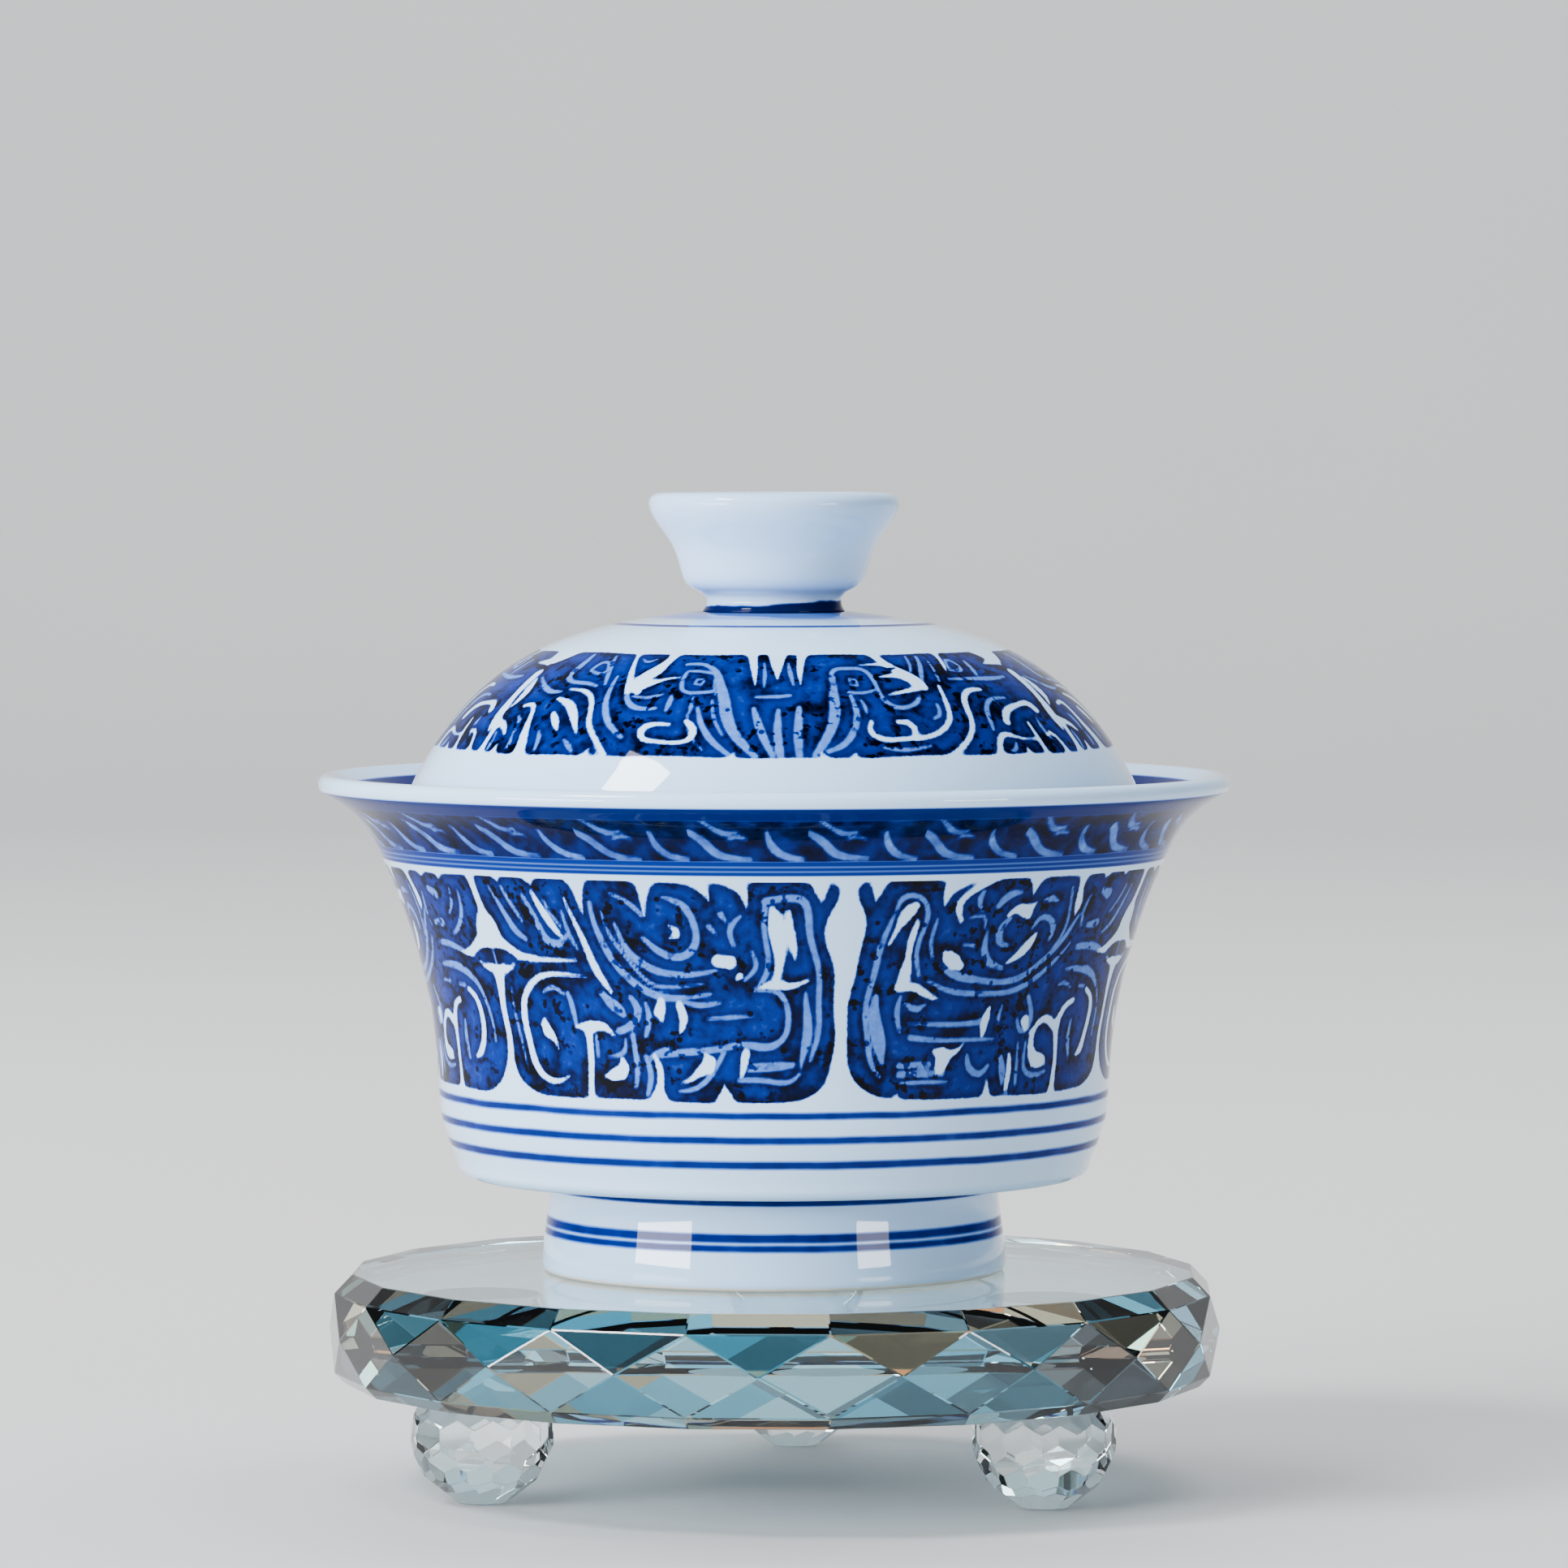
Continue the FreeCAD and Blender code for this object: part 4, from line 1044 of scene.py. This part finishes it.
soft_light("left_window", (-0.95, -0.62, 0.17), (0, 0, 0.05), (0.62, 0.15), 13.0)
soft_light("right_window", (0.90, -0.74, 0.17), (0, 0, 0.05), (0.36, 0.15), 4.0)
soft_light("upper_window", (-0.67, -0.41, 0.99), (0, 0, 0.08), (0.30, 0.24), 13.0)
soft_light("left_strip", (-0.75, 0.65, 0.35), (0, 0, 0.05), (0.12, 0.9), 4.0, seen=False)
soft_light("right_strip", (0.80, 0.60, 0.35), (0, 0, 0.05), (0.12, 0.9), 3.0, seen=False)
soft_light("front_fill", (-1.25, -1.1, 0.7), (0, 0, 0.05), (1.2, 1.0), 47.0, seen=False)
soft_light("overhead", (0.0, 0.1, 1.3), (0, 0, 0.08), (1.2, 1.2), 9.0, seen=False)
soft_light("backdrop_wash", (0.0, 0.4, 2.0), (0, 2.4, 0.7), (2.4, 0.8), 75.0, seen=False)

world = bpy.data.worlds.new("studio")
world.use_nodes = True
world.node_tree.nodes["Background"].inputs[0].default_value = (0.86, 0.93, 1.0, 1)
world.node_tree.nodes["Background"].inputs[1].default_value = 0.12
bpy.context.scene.world = world

# %% [markdown]
# ## Cobalt under glaze
# Cobalt is brushed on the dry body and the clear glaze melts over it.  Where the brush laid
# much it turns deep blue, and where the pigment piled up it burns to blue-black spots; a thin
# wash stays pale.  So the shader works out one number, the depth of the cobalt, and only then
# turns it into a colour.

# %% Cobalt from thin to burnt
body_white = colour(184, 220, 255)
wash_blue = colour(80, 126, 208)
mid_blue = colour(0, 32, 116)
deep_blue = colour(0, 7, 48)
burnt_blue = colour(0, 2, 10)
biscuit = colour(226, 214, 198)


def cobalt_colour(finish, depth):
    """White at depth 0, then wash, mid, deep and burnt blue."""
    result = finish.mixed((depth / 0.3).clamped(), body_white, wash_blue)
    result = finish.mixed(((depth - 0.3) / 0.3).clamped(), result, mid_blue)
    result = finish.mixed(((depth - 0.6) / 0.25).clamped(), result, deep_blue)
    return finish.mixed(((depth - 0.85) / 0.15).clamped(), result, burnt_blue)


def band(level, low, high, soft=0.1):
    """1 between two levels, with soft edges."""
    half = (high - low) / 2
    return (half - (level - (low + high) / 2).size()).ramp(-soft, soft)


# %% The brush's work
def brushed(finish, where):
    """Depth of cobalt from the stored strokes, mottled and darker at the edges; how far the
    blue covers a place; and how far a pale line does."""
    rough_edge = finish.noise(where, 2.2, 2.0) * 0.22 - 0.11
    blue = finish.stored("blue") + rough_edge
    pale = finish.stored("pale") + rough_edge * 0.5
    cloud = finish.noise(where, 0.28, 3.0, 0.6)
    streak = finish.noise(where, 1.3, 2.0, 0.5)
    edge = 1.0 - blue.ramp(0.2, 1.1)
    halo = pale.ramp(-1.0, -0.15)
    tone = (0.65 + (cloud - 0.5) * 1.15).most(0.6) + (streak - 0.5) * 0.14 + edge.most(halo) * 0.15
    line = pale.ramp(-0.26, 0.14)
    tone = tone * (1.0 - line) + (0.34 + (streak - 0.5) * 0.24) * line
    return tone, blue.ramp(-0.17, 0.13), line


def spots(finish, where, scale, low, high, share):
    """Small round spots in a share of the cells of a scattered pattern."""
    cells = finish.node("ShaderNodeTexVoronoi", {"feature": "F1"}, {"Vector": where, "Scale": scale})
    chance = finish.node(
        "ShaderNodeTexVoronoi", {"feature": "F1"}, {"Vector": where, "Scale": scale}, "Color"
    )
    pick = finish.node("ShaderNodeSeparateColor", {}, {0: chance}, 0)
    return (1.0 - cells.ramp(low, high)) * pick.ramp(1 - share - 0.05, 1 - share + 0.05)


def burnt(finish, where):
    """Where the pigment piled up: ragged patches, and small round spots beside them."""
    patch = finish.noise(where, 0.16, 2.0).ramp(0.42, 0.56)
    ragged = finish.noise(where, 0.7, 2.0, 0.6).ramp(0.55, 0.64) * patch
    return ragged.most(spots(finish, where, 0.8, 0.18, 0.34, 0.16)) * 0.35


# %% [markdown]
# ## The glaze
# The glaze is a thin layer of clear glass, so it is the shader's coat, and the body under it has
# almost no gloss of its own.  Deep cobalt swallows light that would shine back through the glaze,
# and a full coat would lay a grey veil on it, so the coat thins where the cobalt is deep.  The
# foot ring is wiped clean before firing and shows bare biscuit where it stands.

# %% Glaze
def porcelain(piece, depth_of):
    """A glazed finish for one piece; depth_of(finish, where, x, y, z) gives the cobalt."""
    finish = Finish("glazed " + piece.name, Specular_IOR_Level=0.02, Coat_Roughness=0.03, Coat_IOR=1.5)
    where, (east, north, level) = finish.place()
    depth = depth_of(finish, where, east, north, level)
    tint = finish.noise(where, 0.05, 2.0)
    blue = cobalt_colour(finish, depth)
    bare = 1.0 - (level - stand_top).ramp(0.25, 0.6) if piece is bowl else 0.0
    finish.feed(Base_Color=finish.mixed(bare, blue, biscuit))
    finish.feed(Roughness=(tint * 0.04 + 0.03).most(bare * 0.6))
    finish.feed(Coat_Weight=(0.9 - (depth / 0.4).clamped() * 0.74) * (1.0 - bare))
    ripple = finish.noise(where, 0.16, 2.0)
    settings = {"Strength": 0.25, "Distance": 0.03 * MM, "Height": ripple}
    finish.feed(Normal=finish.node("ShaderNodeBump", {}, settings))
    wear(piece, finish)
    print("glazed", piece.name, "with", len(finish.tree.nodes), "nodes")


# %% [markdown]
# ## Rings and bands
# Plain rings are drawn by touching a loaded brush to the turning piece.  They need no strokes:
# height alone says where they are, or distance from the axis on the flat crown of the lid.

# %% Heights of the rings and bands, in mm
frieze_band = (45.2, 70.2)
top_ring = (44.0, 44.75)
low_rings = ((41.3, 42.1), (38.55, 39.4), (28.5, 29.25), (29.5, 30.45))
heel_ring = (33.5, 34.4)
wave_band = (72.1, 76.7)
cord_band = (70.55, 72.15)                # two light lines run inside it
cord_lines = ((71.45, 71.6), (70.95, 71.1))
hem_band = (76.6, 78.0)
rim_band = (69.5, 78.6)                   # inside the mouth
crown_ring = (17.25, 18.15)               # a radius, as are the next two
crown_wash_edge = (13.0, 15.0)
neck_line_edge = (8.9, 9.7)


# %% Cobalt of each piece
def bowl_depth(finish, where, east, north, level):
    """Frieze, rings, waves, cord and hem outside; one deep band inside the mouth."""
    outer = finish.stored("outside").ramp(0.4, 0.6)
    tone, cover, line = brushed(finish, where)
    tone = tone + burnt(finish, where)
    frieze = tone * cover * band(level, *frieze_band)
    wobble = (finish.noise(where, 0.12, 1.0) - 0.5) * 0.3
    rings = band(level + wobble, *top_ring, 0.25)
    for ring in low_rings:
        rings = rings.most(band(level + wobble * 0.5, *ring, 0.25))
    load = 0.66 + (finish.noise(where, 0.35, 2.0) - 0.5) * 0.3
    rings = rings.most(band(level, *heel_ring, 0.15)) * load
    wave = 0.82 - line * 0.42 + (finish.noise(where, 0.42, 3.0) - 0.5) * 0.7
    wave = wave * band(level, *wave_band, 0.15)
    first, second = cord_lines
    cord = band(level, *cord_band) * (0.6 - band(level, *first) * 0.2 - band(level, *second) * 0.2)
    hem = band(level, *hem_band, 0.15) * 0.7
    outside = frieze.most(rings).most(wave).most(cord).most(hem)
    inside = band(level, *rim_band, 0.15) * 0.74
    return outside * outer + inside * (1.0 - outer)


def lid_depth(finish, where, east, north, level):
    """The painted band, a ring and a pale wash round the crown, and a line at the knob."""
    outer = finish.stored("outside").ramp(0.4, 0.6)
    tone, cover, _ = brushed(finish, where)
    tone = tone + burnt(finish, where)
    radius = (east * east + north * north) ** 0.5
    wobble = (finish.noise(where, 0.12, 1.0) - 0.5) * 0.4
    crown_wash = (1.0 - (radius + wobble).ramp(*crown_wash_edge)) * 0.34
    neck_line = (1.0 - radius.ramp(*neck_line_edge)) * 0.8
    thin_line = band(radius + wobble, *crown_ring) * 0.6
    return (tone * cover).most(crown_wash).most(neck_line).most(thin_line) * outer


def knob_depth(finish, where, east, north, level):
    """A blue line round the knob's foot, wandering and a little higher on one side."""
    edge = finish.noise(where, 0.3, 2.0) * 0.6 + east * 0.05
    foot = 1.0 - (level - edge).ramp(crown + 0.45, crown + 0.8)
    return foot * 0.78 + finish.noise(where, 0.1, 2.0) * 0.06


porcelain(bowl, bowl_depth)
porcelain(lid, lid_depth)
porcelain(knob, knob_depth)

# %% [markdown]
# ## Cut crystal
# The stand is ground and polished flat by flat.  The real edges are not knife sharp: a narrow
# polished chamfer catches the light along every one, so a copy of the plain solid gets one.
# The slanted flats mirror and bend the room round them, so each is given a painted reflection:
# teal, pale teal, amber or dark.  Each slanted flat keeps a number of its own that picks its
# painted reflection, and the big faces keep none and stay clear.

# %% Crystal finishes
def clear(name, tint, other, **constants):
    """A clear finish whose tint drifts slightly through the piece."""
    finish = Finish(name, Transmission_Weight=1.0, **constants)
    where, _ = finish.place()
    finish.feed(Base_Color=finish.mixed(finish.noise(where, 0.03, 1.0), tint, other))
    return finish


def crystal_with_painted_reflections(name, **constants):
    """Clear crystal whose flats show a painted reflection, dark, teal, pale teal or amber, by their stored
    number.
    """
    finish = Finish(name, Transmission_Weight=1.0, **constants)
    painted_reflection = finish.stored("painted_reflection")
    tint = clear_flat
    for start, shade in painted_reflections:
        tint = finish.mixed(painted_reflection.ramp(start, start + 0.06), tint, shade)
    finish.feed(Base_Color=tint)
    return finish


clear_flat = colour(210, 240, 247)
# colours of the painted reflections that the slanted flats show
reflected_teal, reflected_pale_teal = colour(66, 150, 180), colour(160, 218, 234)
reflected_amber, reflected_dark = colour(196, 144, 98), colour(48, 68, 78)
painted_reflections = ((0.02, reflected_teal), (0.38, reflected_pale_teal), (0.6, reflected_amber), (0.78, reflected_dark))
lead_glass = {"Roughness": 0.0, "IOR": 1.54}
disc_crystal = crystal_with_painted_reflections("cut crystal", **lead_glass)
ball_crystal = clear("clear crystal", colour(240, 250, 252), colour(248, 252, 252), **lead_glass)
print("crystal with", len(painted_reflections), "painted_reflections")

# %% Cut the disc and the balls
CHAMFER = {"stand_disc": 0.1, "foot_ball_1": 0.06, "foot_ball_2": 0.06, "foot_ball_3": 0.06}
SLANTED = 0.9                             # a flat is slanted when its normal rises less than this
chance = np.random.default_rng(5)
for node, width in CHAMFER.items():
    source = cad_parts[node]
    cut = bmesh.new()
    cut.from_mesh(source.data)
    bmesh.ops.remove_doubles(cut, verts=cut.verts, dist=0.001 * MM)
    bmesh.ops.dissolve_limit(cut, angle_limit=math.radians(0.5), verts=cut.verts, edges=cut.edges)
    mesh = bpy.data.meshes.new("cut_" + node)
    cut.to_mesh(mesh)
    cut.free()
    copy = bpy.data.objects.new("cut_" + node, mesh)
    bpy.context.scene.collection.objects.link(copy)
    facing = np.zeros(len(mesh.polygons) * 3, np.float32)
    mesh.polygons.foreach_get("normal", facing)
    slanted = np.abs(facing[2::3]) < SLANTED
    # each slanted flat draws a number that picks its painted reflection
    painted_reflection = np.where(slanted, 0.1 + 0.9 * chance.random(len(slanted)), 0.0)
    layer = mesh.attributes.new("painted_reflection", "FLOAT", "FACE")
    layer.data.foreach_set("value", painted_reflection.astype(np.float32))
    for face in mesh.polygons:
        face.use_smooth = False
    chamfer = copy.modifiers.new("polished edges", "BEVEL")
    chamfer.width = width * MM
    chamfer.segments = 1
    chamfer.limit_method = "NONE"
    wear(copy, disc_crystal if node == "stand_disc" else ball_crystal)
    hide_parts(node)
    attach(copy, "stand")
    print(node, "is cut with", len(mesh.polygons), "flats")

# %% [markdown]
# ## The bonds
# Each ball is ground flat on top and glued to the disc with a clear cement.  The cement's own
# solid is already the right shape and only needs a finish.  Cured cement is a little milky, and
# it also gets a weak painted glow, which stands in for light that crosses the crystal, so that it
# doesn't look black when seen through the disc.

# %% Cement
# the emission is a painted glow: the milky colour lit from within, not a lamp
bond = Finish("cured bond", Transmission_Weight=0.35, Roughness=0.3, IOR=1.48, Emission_Strength=0.22)
haze = bond.noise(bond.place()[0], 0.5, 2.0)
milky_and_glow = bond.mixed(haze, colour(236, 244, 246), colour(206, 222, 228))
bond.feed(Base_Color=milky_and_glow, Emission_Color=milky_and_glow)
for number in (1, 2, 3):
    wear(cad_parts["foot_bond_%d" % number], bond)
print("3 bonds under the disc")
